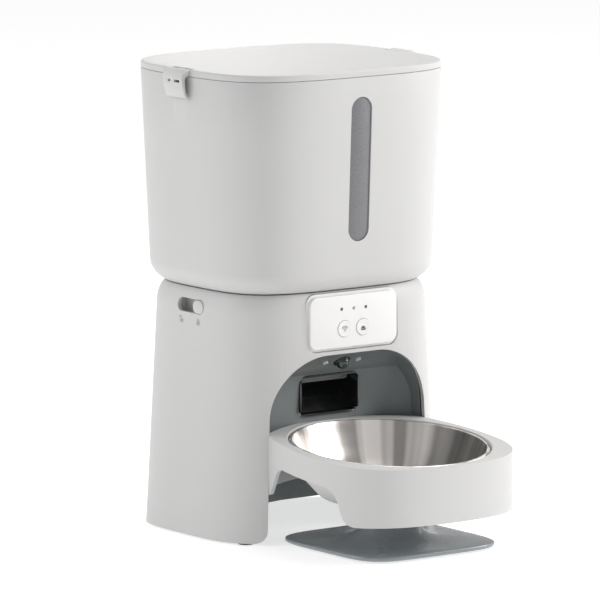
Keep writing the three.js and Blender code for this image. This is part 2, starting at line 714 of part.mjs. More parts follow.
const INLET = { x: -62, z: 80, r: 5.6, bore: 3.2, depth: 9 };
const SPEAKER = { x: 78, y: 8, r: 13, height: 7 };
const batteryHalf = (CELL.pitch * (CELL.count - 1)) / 2 + CELL.r + 0.6 + BATTERY_WALL;
const batteryFront = 4;
const batteryBack = batteryFront + CELL.length + 2 * BATTERY_WALL + 1.5;
const batteryBottom = BOX_FLOOR_Z + COVER_THICKNESS + RUNNING_GAP;
const batteryTop = batteryBottom + 2 * CELL.r + BATTERY_WALL + 1;

function makeElectronics() {
  const coverTop = BOX_FLOOR_Z + COVER_THICKNESS;
  const doorway = (amount) =>
    alongZ(
      roundedRectangle(-batteryHalf - amount, batteryHalf + amount, batteryFront - amount,
        batteryBack + amount, 5 + amount),
      BOX_FLOOR_Z - 0.01 * Math.sign(amount), coverTop + 0.01 * Math.sign(amount), 4);
  const plate = softLoft([
    inset(between(floorLevel, shoulderLevel, BOX_FLOOR_Z), BASE_WALL + GAP),
    inset(between(floorLevel, shoulderLevel, coverTop), BASE_WALL + GAP),
  ]);
  const corners = [-1, 1].flatMap((sx) => [-1, 1].map((sy) => [sx * postX, sy * POST.y]));
  const soundHoles = [0, 1, 2, 3, 4, 5].map((k) => {
    const angle = (k * Math.PI) / 3;
    return discZ(SPEAKER.x + 7 * Math.cos(angle), SPEAKER.y + 7 * Math.sin(angle), 2, 20, 40, 10);
  });
  const cover = cut(
    plate,
    niche(-LINER_WALL - GAP, BOX_FLOOR_Z - 2),
    doorway(0),
    ...corners.map(([x, y]) => discZ(x, y, SCREW.r + GAP, 20, 40, 10)),
    ...soundHoles,
  );
  piece("bottom_cover", cover, darkPlastic);
  corners.forEach(([x, y], i) => {
    piece(`cover_screw_${i + 1}`, baseScrew(x, y, BOX_FLOOR_Z - GAP), steel);
  });

  const doorScrewY = batteryFront + 8;
  const door = cut(doorway(-GAP), discZ(0, doorScrewY, SCREW.r + GAP, 20, 40, 10));
  piece("battery_cover", door, darkPlastic);
  const doorScrew = join(
    discZ(0, doorScrewY, SCREW.headR, BOX_FLOOR_Z - GAP - SCREW.head, BOX_FLOOR_Z - GAP, 12),
    discZ(0, doorScrewY, SCREW.r, BOX_FLOOR_Z - GAP - 0.5, coverTop, 10),
  );
  piece("battery_screw", doorScrew, steel);

  const tray = cut(
    box(-batteryHalf, batteryHalf, batteryFront, batteryBack, batteryBottom, batteryTop),
    box(BATTERY_WALL - batteryHalf, batteryHalf - BATTERY_WALL, batteryFront + BATTERY_WALL,
      batteryBack - BATTERY_WALL, batteryBottom - 1, batteryTop - BATTERY_WALL),
  );
  piece("battery_box", tray, innerPlastic);
  for (let k = 0; k < CELL.count; k++) {
    const x = (k - (CELL.count - 1) / 2) * CELL.pitch;
    const z = batteryBottom + CELL.r + GAP;
    const front = batteryFront + BATTERY_WALL + GAP;
    const cell = join(
      discY(x, z, CELL.r, front + CELL.length - 1.5, front, 16),
      discY(x, z, 4.5, front + CELL.length, front + CELL.length - 2, 12),
    );
    piece(`battery_${k + 1}`, cell, cellWrap);
  }

  const boardY = batteryBack - 3;
  const boardBottom = batteryTop + 14;
  const board = join(
    box(-38, 38, boardY, boardY + 1.6, boardBottom, boardBottom + 48),
    box(-26, -8, boardY - 3, boardY + 0.5, boardBottom + 12, boardBottom + 30),
    box(6, 14, boardY - 8, boardY + 0.5, boardBottom + 30, boardBottom + 38),
    box(20, 32, boardY - 5, boardY + 0.5, boardBottom + 6, boardBottom + 18),
  );
  piece("main_board", board, circuitBoard);

  const wallY = between(floorLevel, shoulderLevel, INLET.z).halfDepth;
  const mouthY = wallY * 0.985 - 1;
  const inlet = join(
    cut(discY(INLET.x, INLET.z, INLET.r, mouthY, mouthY - 16), discY(INLET.x, INLET.z, INLET.bore, mouthY + 1,
      mouthY - INLET.depth)),
    discY(INLET.x, INLET.z, 1, mouthY - 2, mouthY - INLET.depth - 1, 8),
  );
  piece("power_inlet", inlet, blackPlastic);

  const speakerBottom = coverTop + RUNNING_GAP;
  const speaker = turned([
    [0, speakerBottom],
    [SPEAKER.r, speakerBottom],
    [SPEAKER.r, speakerBottom + 3],
    [SPEAKER.r - 5, speakerBottom + SPEAKER.height],
    [0, speakerBottom + SPEAKER.height],
  ], 20).translate([SPEAKER.x, SPEAKER.y, 0]);
  piece("speaker", speaker, blackPlastic);
}

// ---------------------------------------------------------------- hopper

function windowShape(amount) {
  const half = WINDOW.width / 2 - amount;
  const bottom = SEAM_Z + WINDOW.aboveSeam + amount;
  const top = HEIGHT - WINDOW.belowTop - amount;
  return roundedRectangle(-half, half, bottom, top, half - 0.01);
}

function makeHopper() {
  const bore = (clearance) => {
    const levels = hopperLevels(HOPPER_WALL + clearance, hopperTop + 1);
    levels.unshift(inset(levels[0], 0, hopperBottom - 1));
    return softLoft(levels);
  };
  const beadLevel = sideAt(hopperTop - BEAD.drop);
  const beadWidth = LATCH.width - 6;
  const bead = (side) => {
    const x = side * beadLevel.halfWidth;
    const z = hopperTop - BEAD.drop;
    return box(Math.min(x - side, x + side * BEAD.proud), Math.max(x - side, x + side * BEAD.proud),
      -beadWidth / 2, beadWidth / 2, z, z + BEAD.height);
  };
  const shell = cut(
    join(softLoft(hopperLevels(0)), bead(-1), bead(1)),
    bore(0),
    alongY(windowShape(0), 0, WAY_FRONT),
  );
  piece("hopper_shell", shell, whitePlastic);

  const funnelTop = hopperBottom + FUNNEL.rise;
  const throatBottom = hopperBottom - SEAM_GAP - THROAT.reach;
  const throatR = WELL.r - THROAT.inWell;
  const throatOuter = throatR + THROAT.wall;
  const round = (z, r) => level(z, r, r, 2, rotorY);
  const lipInner = HOPPER_WALL + GAP + FUNNEL.wall;
  const bowlOuter = softLoft([
    round(hopperBottom - 1.5, throatOuter),
    inset(sideAt(funnelTop - FUNNEL.lip), 0),
    inset(sideAt(funnelTop), 0),
  ]);
  const bowlInner = softLoft([
    round(throatBottom - 1, throatR),
    round(hopperBottom + 1, throatR),
    inset(sideAt(funnelTop - FUNNEL.lip + FUNNEL.wall), lipInner),
    inset(sideAt(funnelTop + 1), lipInner),
  ]);
  const throat = discZ(0, rotorY, throatOuter, throatBottom, hopperBottom, SIDES);
  piece("hopper_funnel", cut(join(bowlOuter.intersect(bore(GAP)), throat), bowlInner), whitePlastic);

  const skin = (amount) => softLoft([inset(footLevel, amount), inset(rimLevel, amount)]);
  const pane = alongY(windowShape(GAP), 0, WAY_FRONT).intersect(
    cut(skin(WINDOW.recess), skin(WINDOW.recess + WINDOW.thickness)),
  );
  piece("window_pane", pane, smokedWindow);

  const sealInner = throatOuter + GAP;
  const sealOuter = WELL.r - 0.4;
  const seal = turned([
    [sealInner, throatBottom + 1],
    [sealOuter, throatBottom + 1],
    [sealOuter, throatBottom + 4],
    [sealInner, throatBottom + 4],
    [sealInner, throatBottom + 1],
  ], SIDES).translate([0, rotorY, 0]);
  piece("hopper_seal", seal, rubber);
}

// ---------------------------------------------------------------- lid and latches

const lidHalf = rimLevel.halfWidth;
const pivotX = lidHalf - LATCH.pivotIn;
const pivotZ = HEIGHT - LATCH.pivotDrop;
const notchX = pivotX - 3.8;
const notchHalf = LATCH.width / 2 + GAP;

function makeLid() {
  const edge = LID.edge;
  const outer = softLoft([
    inset(rimLevel, 0, lidBottom),
    inset(rimLevel, 0, HEIGHT - edge),
    inset(rimLevel, edge * 0.3, HEIGHT - edge * 0.3),
    inset(rimLevel, edge, HEIGHT),
  ]);
  const skirtBottom = lidBottom - LID.skirt;
  const bore = inset(sideAt(skirtBottom), HOPPER_WALL + GAP); // what passes down into the hopper's mouth
  const ring = (amount, low, high) => softLoft([inset(bore, amount, low), inset(bore, amount, high)]);
  const skirtIn = LID.sealWidth + GAP;
  const skirt = ring(skirtIn, skirtBottom, lidBottom + 1);
  const hollow = ring(skirtIn + LID.skirtWall, skirtBottom - 1, HEIGHT - LID.skin);
  const notches = [-1, 1].map((side) => {
    const [x0, x1] = side > 0 ? [notchX, lidHalf + 20] : [-lidHalf - 20, -notchX];
    return box(x0, x1, -notchHalf, notchHalf, lidBottom - 0.1, HEIGHT + 5);
  });
  const pinHoles = [-1, 1].map((side) =>
    discY(side * pivotX, pivotZ, LATCH.pinR + GAP, notchHalf + 4, -notchHalf - 4, 14),
  );
  piece("lid_cover", cut(join(outer, skirt), hollow, ...notches, ...pinHoles), whitePlastic);

  const sealBottom = lidBottom - 6;
  const seal = cut(ring(0, sealBottom, lidBottom - GAP), ring(LID.sealWidth, sealBottom - 1, lidBottom));
  piece("lid_seal", seal, rubber);

  const boxTop = HEIGHT - LID.skin - GAP;
  const boxBottom = boxTop - DESICCANT.height;
  const rect = (amount, z0, z1) =>
    alongZ(roundedRectangle(amount - DESICCANT.width / 2, DESICCANT.width / 2 - amount,
      amount - DESICCANT.depth / 2, DESICCANT.depth / 2 - amount, 8 - amount), z0, z1, 4);
  const { wall } = DESICCANT;
  const hollowBox = cut(rect(0, boxBottom, boxTop), rect(wall, boxBottom - 1, boxTop - wall));
  piece("desiccant_box", hollowBox, innerPlastic);
  const slot = { half: 26, width: 3, pitch: 9 };
  const slots = [-2, -1, 0, 1, 2].map((k) => {
    const y = k * slot.pitch;
    return box(-slot.half, slot.half, y - slot.width / 2, y + slot.width / 2, boxBottom - 5, boxBottom);
  });
  piece("desiccant_cover", cut(rect(0, boxBottom - GAP - 2, boxBottom - GAP), ...slots), innerPlastic);
}

// The latch section in X and Z for the right side: a crown over the lid's edge and a curved finger plate.
function latchShape() {
  const wall = lidHalf;
  const top = HEIGHT + 0.6;
  const tip = HEIGHT - LATCH.drop;
  const out = wall + LATCH.out;
  const shape = new THREE.Shape();
  shape.moveTo(pivotX, pivotZ + LATCH.knuckleR);
  shape.lineTo(wall + 3, top);
  shape.quadraticCurveTo(out - 0.4, top - 0.4, out, HEIGHT - 5.5);
  shape.quadraticCurveTo(out, HEIGHT - 15, wall + 2.8, tip);
  shape.lineTo(wall + 1.6, tip + 0.2);
  shape.quadraticCurveTo(wall + 4, HEIGHT - 13.5, wall + 3.8, HEIGHT - 8);
  shape.quadraticCurveTo(wall + 3.6, lidBottom - 0.4, wall + 1.2, lidBottom + 0.1);
  shape.lineTo(pivotX, pivotZ - LATCH.knuckleR);
  return shape;
}

function makeLatches() {
  const half = LATCH.width / 2;
  const slotZ = HEIGHT - 9;
  const latch = cut(
    join(alongY(latchShape(), half, -half, 5), discY(pivotX, pivotZ, LATCH.knuckleR, half, -half, 16)),
    discY(pivotX, pivotZ, LATCH.pinR + GAP, half + 1, -half - 1, 14),
    box(lidHalf, lidHalf + 20, -9, -2, slotZ - 1, slotZ + 1),
    box(lidHalf, lidHalf + 20, 3, 6, slotZ - 1, slotZ + 1),
  );
  const pin = discY(pivotX, pivotZ, LATCH.pinR, notchHalf + 3.5, -notchHalf - 3.5, 12);
  piece("latch_right", latch, whitePlastic);
  piece("latch_left", latch.mirror([1, 0, 0]), whitePlastic);
  piece("latch_pin_right", pin, steel);
  piece("latch_pin_left", pin.mirror([1, 0, 0]), steel);
}

// ---------------------------------------------------------------- bowl, tray and pedestal

const tilt = THREE.MathUtils.degToRad(BOWL.tilt);
const SLOPE = Math.tan(tilt);
const bowlY = NICHE.backLow - BOWL.fromNiche - BOWL.r;
const trayFront = bowlY - BOWL.r - TRAY.rimFront;
const trayRear = NICHE.backLow - TRAY.fromNiche - TRAY.bow;

// Turns a piece made about Z, with the bowl's rim plane at height 0, to its place in the tray.
function inTray(shape) {
  return shape.rotate([BOWL.tilt, 0, 0]).translate([0, bowlY, BOWL.rimZ]);
}

// Outline points of the bowl wall, as shares of the radius and depth, at a distance outside the inner face.
function bowlWall(outside) {
  const { r, depth } = BOWL;
  return [
    [r * 0.5 + outside * 0.3, -depth + BOWL.wall - outside],
    [r * 0.72 + outside * 0.7, -depth * 0.86 - outside * 0.7],
    [r * 0.88 + outside, -depth * 0.55 - outside * 0.3],
    [r * 0.945 + outside, -depth * 0.2],
    [r * 0.96 + outside, -2.8],
  ];
}

function trayShape(amount) {
  const half = BOWL.r + TRAY.rimSide - amount;
  const rearHalf = ARCH.halfWidth - TRAY.inArch - amount;
  const front = trayFront + amount;
  const rearY = trayRear - amount;
  const { rear, side, flat, corner, nose } = TRAY_PULL;
  const shape = new THREE.Shape();
  shape.moveTo(-rearHalf, rearY);
  shape.bezierCurveTo(-half + 4, rearY - rear, -half, rearY - side, -half, bowlY - flat);
  shape.bezierCurveTo(-half, bowlY - corner, -half * nose, front, 0, front);
  shape.bezierCurveTo(half * nose, front, half, bowlY - corner, half, bowlY - flat);
  shape.bezierCurveTo(half, rearY - side, half - 4, rearY - rear, rearHalf, rearY);
  shape.quadraticCurveTo(0, rearY + 2 * TRAY.bow, -rearHalf, rearY);
  return shape;
}

// Height of the tray's top face at a place along Y.
const trayTopAt = (y) => BOWL.rimZ + 0.4 + (y - bowlY) * SLOPE;

function makeTray() {
  const rear = trayRear;
  const back = rear + TRAY.bow + 10;
  const front = trayFront - 5;
  const e = TRAY_EDGE;
  const side = polygon([
    [back, trayTopAt(back)],
    [back, e.rearSkirt],
    [rear + 0.5, e.rearSkirt],
    [rear, e.legTip + 2],
    [rear - 4, e.legTip],
    [rear - 9, e.legTip + 0.5],
    [rear - 14, e.legTip + 4],
    [rear - 20, e.legTip + 13],
    [rear - 26, trayTopAt(rear - 26) - e.side - 3.5],
    [rear - 30, trayTopAt(rear - 30) - e.side - 0.8],
    [rear - 34, trayTopAt(rear - 34) - e.side],
    [trayFront + e.drop + 8, trayTopAt(trayFront + e.drop + 8) - e.side],
    [trayFront + e.drop, trayTopAt(trayFront + e.drop) - e.side - 5],
    [trayFront + e.skirtBack + 2, e.skirt + 7],
    [trayFront + e.skirtBack - 1, e.skirt + 2],
    [trayFront + e.skirtBack - 6, e.skirt],
    [front, e.skirt],
    [front, trayTopAt(front)],
  ]);
  const under = polygon([
    [back, trayTopAt(back) - TRAY.plate],
    [back, 0],
    [front, 0],
    [front, trayTopAt(front) - TRAY.plate],
  ]);
  const outer = alongZ(trayShape(0), 0, 120, 6).intersect(alongX(side, -120, 120));
  const hollow = alongZ(trayShape(TRAY.wall), -1, 121, 6).intersect(alongX(under, -121, 121));
  const hole = BOWL.r + BOWL_CLEARANCE;
  const ledge = -3.2;
  const innerWall = bowlWall(BOWL.wall + 1.2).slice(0, 4);
  const outerWall = bowlWall(BOWL.wall + 1.2 + TUB_WALL).slice(0, 4);
  const tubInside = turned([
    [0, innerWall[0][1]], ...innerWall, [BOWL.r - 1.4, ledge], [hole, ledge], [hole, 12], [0, 12],
  ], SIDES);
  const tubOutside = turned([
    [0, outerWall[0][1]], ...outerWall, [hole + 0.6, ledge - 2.4], [hole + 0.6, -1], [0, -1],
  ], SIDES);
  const tray = cut(join(cut(outer, hollow), inTray(tubOutside)), inTray(tubInside));
  piece("bowl_tray", tray, whitePlastic);

  const r = BOWL.r;
  const inside = bowlWall(0).reverse();
  const outside = bowlWall(BOWL.wall);
  const bowl = turned([
    [0, outside[0][1]], ...outside, [r, -2.5], [r, -0.4], [r - 0.5, 0], [r * 0.98, 0], ...inside,
    [0, -BOWL.depth + BOWL.wall],
  ], SIDES);
  piece("food_bowl", inTray(bowl), steel);

  const tubBottom = outerWall[0][1];
  const p = PEDESTAL;
  const plateBottom = p.pad + GAP;
  const plateTop = plateBottom + p.plate;
  const half = p.size / 2;
  const centreZ = BOWL.rimZ + tubBottom;
  const at = (z, h) => level(z, h, h, p.power, bowlY);
  const plate = softLoft([at(plateBottom, half - 1.2), at(plateBottom + 1.2, half), at(plateTop - 1, half),
    at(plateTop, half - 1.4)]);
  const column = turned([
    [0, plateBottom + 1],
    [p.rootR, plateTop - 0.5],
    [p.neckR + 14, plateTop + 1.6],
    [p.neckR + 5, plateTop + 4.5],
    [p.neckR, plateTop + 10],
    [p.neckR + 3, plateTop + 16],
    [p.topR, plateTop + 22],
    [p.topR, centreZ + 10],
    [0, centreZ + 10],
  ]).translate([0, bowlY, 0]);
  const above = inTray(discZ(0, 0, BOWL.r, tubBottom - RUNNING_GAP, tubBottom + 40));
  piece("tray_pedestal", cut(join(plate, column), above), greyPlastic);
  piece("pedestal_pad", softLoft([at(0, half - 8), at(p.pad, half - 8)]), rubber);
}

// ---------------------------------------------------------------- assembly

makeBase();
makeNiche();
makeChute();
makeDrive();
makePanel();
makeLock();
makeElectronics();
makeHopper();
makeLid();
makeLatches();
makeTray();

// Origin: the centre of the footprint, on the floor.
body.position.y = -(trayFront + rimLevel.halfDepth) / 2;

export default feeder;
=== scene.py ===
"""Automatic pet feeder: the visible shells, bowl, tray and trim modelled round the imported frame."""

import math

import bmesh
import bpy
from bpy.props import FloatProperty, FloatVectorProperty, IntProperty, PointerProperty
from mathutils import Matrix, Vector


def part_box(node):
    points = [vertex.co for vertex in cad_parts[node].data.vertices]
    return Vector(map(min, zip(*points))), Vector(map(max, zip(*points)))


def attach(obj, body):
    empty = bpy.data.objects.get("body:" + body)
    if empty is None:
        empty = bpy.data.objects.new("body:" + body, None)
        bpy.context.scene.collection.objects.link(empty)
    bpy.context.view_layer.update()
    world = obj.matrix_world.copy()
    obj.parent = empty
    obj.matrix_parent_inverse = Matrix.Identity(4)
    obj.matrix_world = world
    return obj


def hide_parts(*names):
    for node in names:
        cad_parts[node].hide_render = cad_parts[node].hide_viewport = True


bl_info = {
    "name": "Automatic Pet Feeder",
    "version": (1, 0, 0),
    "blender": (4, 5, 0),
    "location": "View3D > Sidebar > Feeder",
    "description": "Models an automatic pet feeder piece by piece",
    "category": "Add Mesh",
}

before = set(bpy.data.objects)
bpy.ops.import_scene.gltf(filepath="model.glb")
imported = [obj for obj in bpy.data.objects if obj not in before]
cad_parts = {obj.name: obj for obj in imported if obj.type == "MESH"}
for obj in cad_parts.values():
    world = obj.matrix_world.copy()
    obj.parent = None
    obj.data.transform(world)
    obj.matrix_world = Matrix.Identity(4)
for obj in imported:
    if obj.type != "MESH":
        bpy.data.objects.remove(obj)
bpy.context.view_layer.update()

MM = 0.001
GAP = 0.3 * MM  # clearance round a piece that is set in or swings
INK = 0.12 * MM  # half the thickness of a printed mark

# Places taken from the frame
LID_LOW, LID_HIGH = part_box("lid_cover")
HOPPER_LOW, HOPPER_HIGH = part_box("hopper_shell")
BASE_LOW, BASE_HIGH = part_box("base_shell")
PANEL_LOW, PANEL_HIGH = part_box("control_panel")
DECK_LOW, DECK_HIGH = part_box("dispenser_deck")
TRAY_LOW, TRAY_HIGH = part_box("bowl_tray")
BOWL_LOW, BOWL_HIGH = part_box("food_bowl")
COLUMN_LOW, COLUMN_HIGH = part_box("tray_pedestal")
PANE_LOW, PANE_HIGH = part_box("window_pane")
LATCH_LOW, LATCH_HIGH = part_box("latch_right")
SLIDER_LOW, SLIDER_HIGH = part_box("lock_slider")
INLET_LOW, INLET_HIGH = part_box("power_inlet")

AXIS_Y = (LID_LOW.y + LID_HIGH.y) / 2  # the casing's upright axis
ROTOR_Y = (DECK_LOW.y + DECK_HIGH.y) / 2
LOCK_Z = (SLIDER_LOW.z + SLIDER_HIGH.z) / 2
BOWL_Y = (BOWL_LOW.y + BOWL_HIGH.y) / 2
TOP_Z = LID_HIGH.z
RIM_HALF_X = LID_HIGH.x
RIM_HALF_Y = (LID_HIGH.y - LID_LOW.y) / 2
TRAY_REAR_Y = TRAY_HIGH.y - 20.4 * MM  # the ends of the tray's bowed rear edge
ARCH_BACK_Y = AXIS_Y - 55 * MM  # how far back the arch is cut


# ---------------------------------------------------------------- sizes and finishes


def length(name, description, millimetres):
    return FloatProperty(name=name, description=description, default=millimetres * MM, unit="LENGTH")


def angle(name, description, degrees):
    return FloatProperty(name=name, description=description, default=math.radians(degrees), unit="ROTATION")


def tint(name, description, value):
    return FloatVectorProperty(name=name, description=description, default=value, subtype="COLOR", size=3)


class FeederSizes(bpy.types.PropertyGroup):
    """Sizes that shape the visible pieces."""

    facets: IntProperty(name="Facets", description="Points round each soft section", default=112, min=32)
    wall: length("Wall", "Hopper wall", 2.5)
    base_wall: length("Base wall", "Base wall", 3)
    rim_power: FloatProperty(name="Rim squareness", description="Section power at the rim", default=3.53)
    seam_power: FloatProperty(name="Seam squareness", description="Section power at the seam", default=3.6)
    floor_power: FloatProperty(name="Floor squareness", description="Section power at the floor", default=3.9)
    seam_width: length("Seam width", "Width at the seam", 184.4)
    seam_depth: length("Seam depth", "Depth at the seam", 155)
    floor_width: length("Floor width", "Width at floor", 213.2)
    floor_depth: length("Floor depth", "Depth at floor", 170.6)
    foot_in: length("Foot reach", "Hopper foot's turn in", 10.2)
    foot_rise: length("Foot rise", "Height of that turn", 16)
    shoulder_out: length("Shoulder", "Shoulder at the sides", 6)
    shoulder_front: length("Shoulder front", "Shoulder at the front", 4.5)
    shoulder_drop: length("Shoulder drop", "Height of the shoulder", 17)
    arch_half: length("Arch half width", "At the spring", 76)
    arch_flare: length("Arch flare", "Out at the floor", 4)
    arch_top: length("Arch top", "Crown of the arch", 146)
    arch_corner_x: length("Arch corner width", "Width of its round corner", 52)
    arch_corner_z: length("Arch corner height", "Height of its round corner", 50)
    lid_band: length("Lid band", "Height of the lid's edge", 5.2)
    lid_edge: length("Lid edge", "Round of the lid's edge", 1.6)
    tilt: angle("Bowl tilt", "Bowl towards the pet", 4.8)
    bowl_radius: length("Bowl radius", "Over the rim", 78.4)
    bowl_depth: length("Bowl depth", "Rim to base", 45)
    rim_z: length("Rim height", "Middle of the bowl's rim", 81)
    view_turn: angle("View turn", "Camera azimuth", -36.5)
    view_pitch: angle("View pitch", "Camera height", 8.5)
    view_distance: length("View distance", "From the looked-at point", 5400)
    view_target_x: length("Target X", "Of the looked-at point", 8.9)
    view_target_z: length("Target Z", "Height of the looked-at point", 177)
    lens: FloatProperty(name="Lens", description="Focal length in millimetres", default=408)


class FeederFinish(bpy.types.PropertyGroup):
    """Colours of the finishes."""

    shell: tint("Shell", "Satin shell plastic", (0.585, 0.585, 0.582))
    panel: tint("Panel", "Control panel", (0.84, 0.84, 0.84))
    dark: tint("Niche", "Dark liner plastic", (0.165, 0.186, 0.189))
    grey: tint("Pedestal", "Grey pedestal plastic", (0.26, 0.285, 0.3))
    black: tint("Gloss black", "Chute and speaker", (0.012, 0.013, 0.014))
    inner: tint("Inner", "Inner mouldings", (0.58, 0.6, 0.59))
    gear: tint("Gear", "Gear plastic", (0.8, 0.76, 0.64))
    window: tint("Window", "Smoked window", (0.175, 0.172, 0.185))
    rubber: tint("Rubber", "Seals and feet", (0.045, 0.048, 0.05))
    lens: tint("Lens", "Camera lens", (0.006, 0.012, 0.011))
    lamp: tint("Lamp", "Infrared lamps", (0.55, 0.57, 0.59))
    board: tint("Board", "Solder mask", (0.02, 0.11, 0.05))
    cell: tint("Cell", "Cell sleeve", (0.06, 0.08, 0.12))
    steel: tint("Bowl steel", "Bright stainless steel", (0.74, 0.705, 0.68))
    zinc: tint("Hardware", "Screws, pins and shaft", (0.5, 0.5, 0.51))
    print: tint("Print", "Printed pictograms", (0.12, 0.12, 0.125))
    faint: tint("Faint print", "Paler pictograms", (0.36, 0.36, 0.365))
    floor: tint("Floor", "Studio floor", (0.62, 0.62, 0.62))


def sizes():
    return bpy.context.scene.feeder_sizes


def colour(name):
    return tuple(getattr(bpy.context.scene.feeder_finish, name))


# ---------------------------------------------------------------- modelling tools


def deselect():
    if bpy.context.object and bpy.context.object.mode != "OBJECT":
        bpy.ops.object.mode_set(mode="OBJECT")
    bpy.ops.object.select_all(action="DESELECT")


def take(piece):
    """Makes a piece the only selected object."""
    deselect()
    piece.select_set(True)
    bpy.context.view_layer.objects.active = piece


def settle(piece):
    """Puts a piece's place into its mesh."""
    take(piece)
    bpy.ops.object.transform_apply(location=True, rotation=True, scale=True)
    return piece


def fresh(name):
    """Names the primitive that was just added."""
    piece = bpy.context.object
    piece.name = name
    piece.data.name = name
    return settle(piece)


def block(name, low, high):
    """A cuboid between two corners, the start of a moulded piece or a cutter."""
    deselect()
    bpy.ops.mesh.primitive_cube_add(size=1, location=(Vector(low) + Vector(high)) / 2)
    bpy.context.object.scale = Vector(high) - Vector(low)
    return fresh(name)


def rod(name, centre, radius, length, axis="Z", sides=48):
    """A round bar about its centre."""
    turn = {"X": (0, math.pi / 2, 0), "Y": (math.pi / 2, 0, 0), "Z": (0, 0, 0)}[axis]
    deselect()
    bpy.ops.mesh.primitive_cylinder_add(
        vertices=sides, radius=radius, depth=length, location=centre, rotation=turn
    )
    return fresh(name)


def pick_edges(piece, test):
    """In edit mode, selects the edges that pass a test of their two ends."""
    bpy.ops.mesh.select_mode(type="EDGE")
    bpy.ops.mesh.select_all(action="DESELECT")
    mesh = bmesh.from_edit_mesh(piece.data)
    for edge in mesh.edges:
        if test(edge.verts[0].co, edge.verts[1].co):
            edge.select_set(True)
    mesh.select_flush_mode()
    bmesh.update_edit_mesh(piece.data)


def edit(piece):
    take(piece)
    bpy.ops.object.mode_set(mode="EDIT")


def leave():
    bpy.ops.object.mode_set(mode="OBJECT")


def weld():
    """In edit mode, merges points that meet, turns every face outwards and leaves."""
    bpy.ops.mesh.select_all(action="SELECT")
    bpy.ops.mesh.remove_doubles(threshold=1e-6)
    bpy.ops.mesh.normals_make_consistent(inside=False)
    leave()


def rounded_block(name, low, high, axis, radius, segments, edge=0.0):
    """A cuboid with its four edges along one axis rounded, and the rim of its low end softened."""
    piece = block(name, low, high)
    edit(piece)
    k = "XYZ".index(axis)
    pick_edges(piece, lambda a, b: abs(a[k] - b[k]) > 1e-6)
    bpy.ops.mesh.bevel(offset=radius, segments=segments, affect="EDGES", clamp_overlap=True)
    if edge:
        pick_edges(piece, lambda a, b: abs(a[k] - low[k]) < 1e-6 and abs(b[k] - low[k]) < 1e-6)
        bpy.ops.mesh.bevel(offset=edge, segments=3, affect="EDGES")
    leave()
    return piece


class Ring:
    """One level of a soft-cornered section: power 2 is an ellipse, more is squarer."""

    def __init__(self, z, half_x, half_y, power, y=None):
        self.z, self.half_x, self.half_y, self.power = z, half_x, half_y, power
        self.y = AXIS_Y if y is None else y

    def inset(self, amount, z=None):
        height = self.z if z is None else z
        return Ring(height, self.half_x - amount, self.half_y - amount, self.power, self.y)

    def at(self, angle):
        across = abs(math.cos(angle)) / self.half_x
        along = abs(math.sin(angle)) / self.half_y
        reach = (across**self.power + along**self.power) ** (-1 / self.power)
        return Vector((reach * math.cos(angle), self.y + reach * math.sin(angle), self.z))


def between(low, high, z):
    share = (z - low.z) / (high.z - low.z)

    def mix(a, b):
        return a + (b - a) * share

    return Ring(z, mix(low.half_x, high.half_x), mix(low.half_y, high.half_y), mix(low.power, high.power))


def loft(name, rings, hollow=False):
    """A piece extruded ring by ring. A hollow one runs up outside and down inside, and closes on itself."""
    count = sizes().facets
    rings = rings + [rings[0]] if hollow else rings
    deselect()
    bpy.ops.mesh.primitive_circle_add(vertices=count, radius=1, fill_type="NGON")
    piece = fresh(name)
    edit(piece)
    bpy.ops.mesh.select_all(action="SELECT")
    for step, ring in enumerate(rings):
        if step:
            rise = (0, 0, ring.z - rings[step - 1].z)
            bpy.ops.mesh.extrude_region_move(TRANSFORM_OT_translate={"value": rise})
        mesh = bmesh.from_edit_mesh(piece.data)
        before = rings[step - 1].y if step else 0
        for vert in mesh.verts:
            if vert.select:
                vert.co = ring.at(math.atan2(vert.co.y - before, vert.co.x))
        bmesh.update_edit_mesh(piece.data)
    if hollow:
        mesh = bmesh.from_edit_mesh(piece.data)
        caps = [face for face in mesh.faces if len(face.verts) == count]
        bmesh.ops.delete(mesh, geom=caps, context="FACES_ONLY")
        bmesh.update_edit_mesh(piece.data)
    weld()
    return piece


def outline(name, points, steps):
    """A closed flat outline in X and Y. A point is (x, y), or (x, y, handle before, handle after)."""
    curve = bpy.data.curves.new(name, "CURVE")
    curve.dimensions = "2D"
    curve.fill_mode = "BOTH"
    curve.resolution_u = steps
    spline = curve.splines.new("BEZIER")
    spline.bezier_points.add(len(points) - 1)
    spline.use_cyclic_u = True
    for point, values in zip(spline.bezier_points, points):
        here = Vector((values[0], values[1], 0))
        point.co = here
        point.handle_left_type = point.handle_right_type = "FREE"
        point.handle_left = Vector((*values[2], 0)) if len(values) > 2 and values[2] else here
        point.handle_right = Vector((*values[3], 0)) if len(values) > 3 and values[3] else here
    piece = bpy.data.objects.new(name, curve)
    bpy.context.collection.objects.link(piece)
    return piece


def prism(name, points, axis, low, high, steps=1):
    """An outline run along one axis: along X it lies in Y and Z, along Y in X and Z."""
    piece = outline(name, points, steps)
    piece.data.extrude = (high - low) / 2
    middle = (low + high) / 2
    if axis == "Z":
        piece.location.z = middle
    elif axis == "Y":
        piece.rotation_euler = (math.pi / 2, 0, 0)
        piece.location.y = middle
    else:
        piece.rotation_euler = (math.pi / 2, 0, math.pi / 2)
        piece.location.x = middle
    take(piece)
    bpy.ops.object.convert(target="MESH")
    piece = bpy.context.object
    settle(piece)
    edit(piece)
    weld()
    return piece


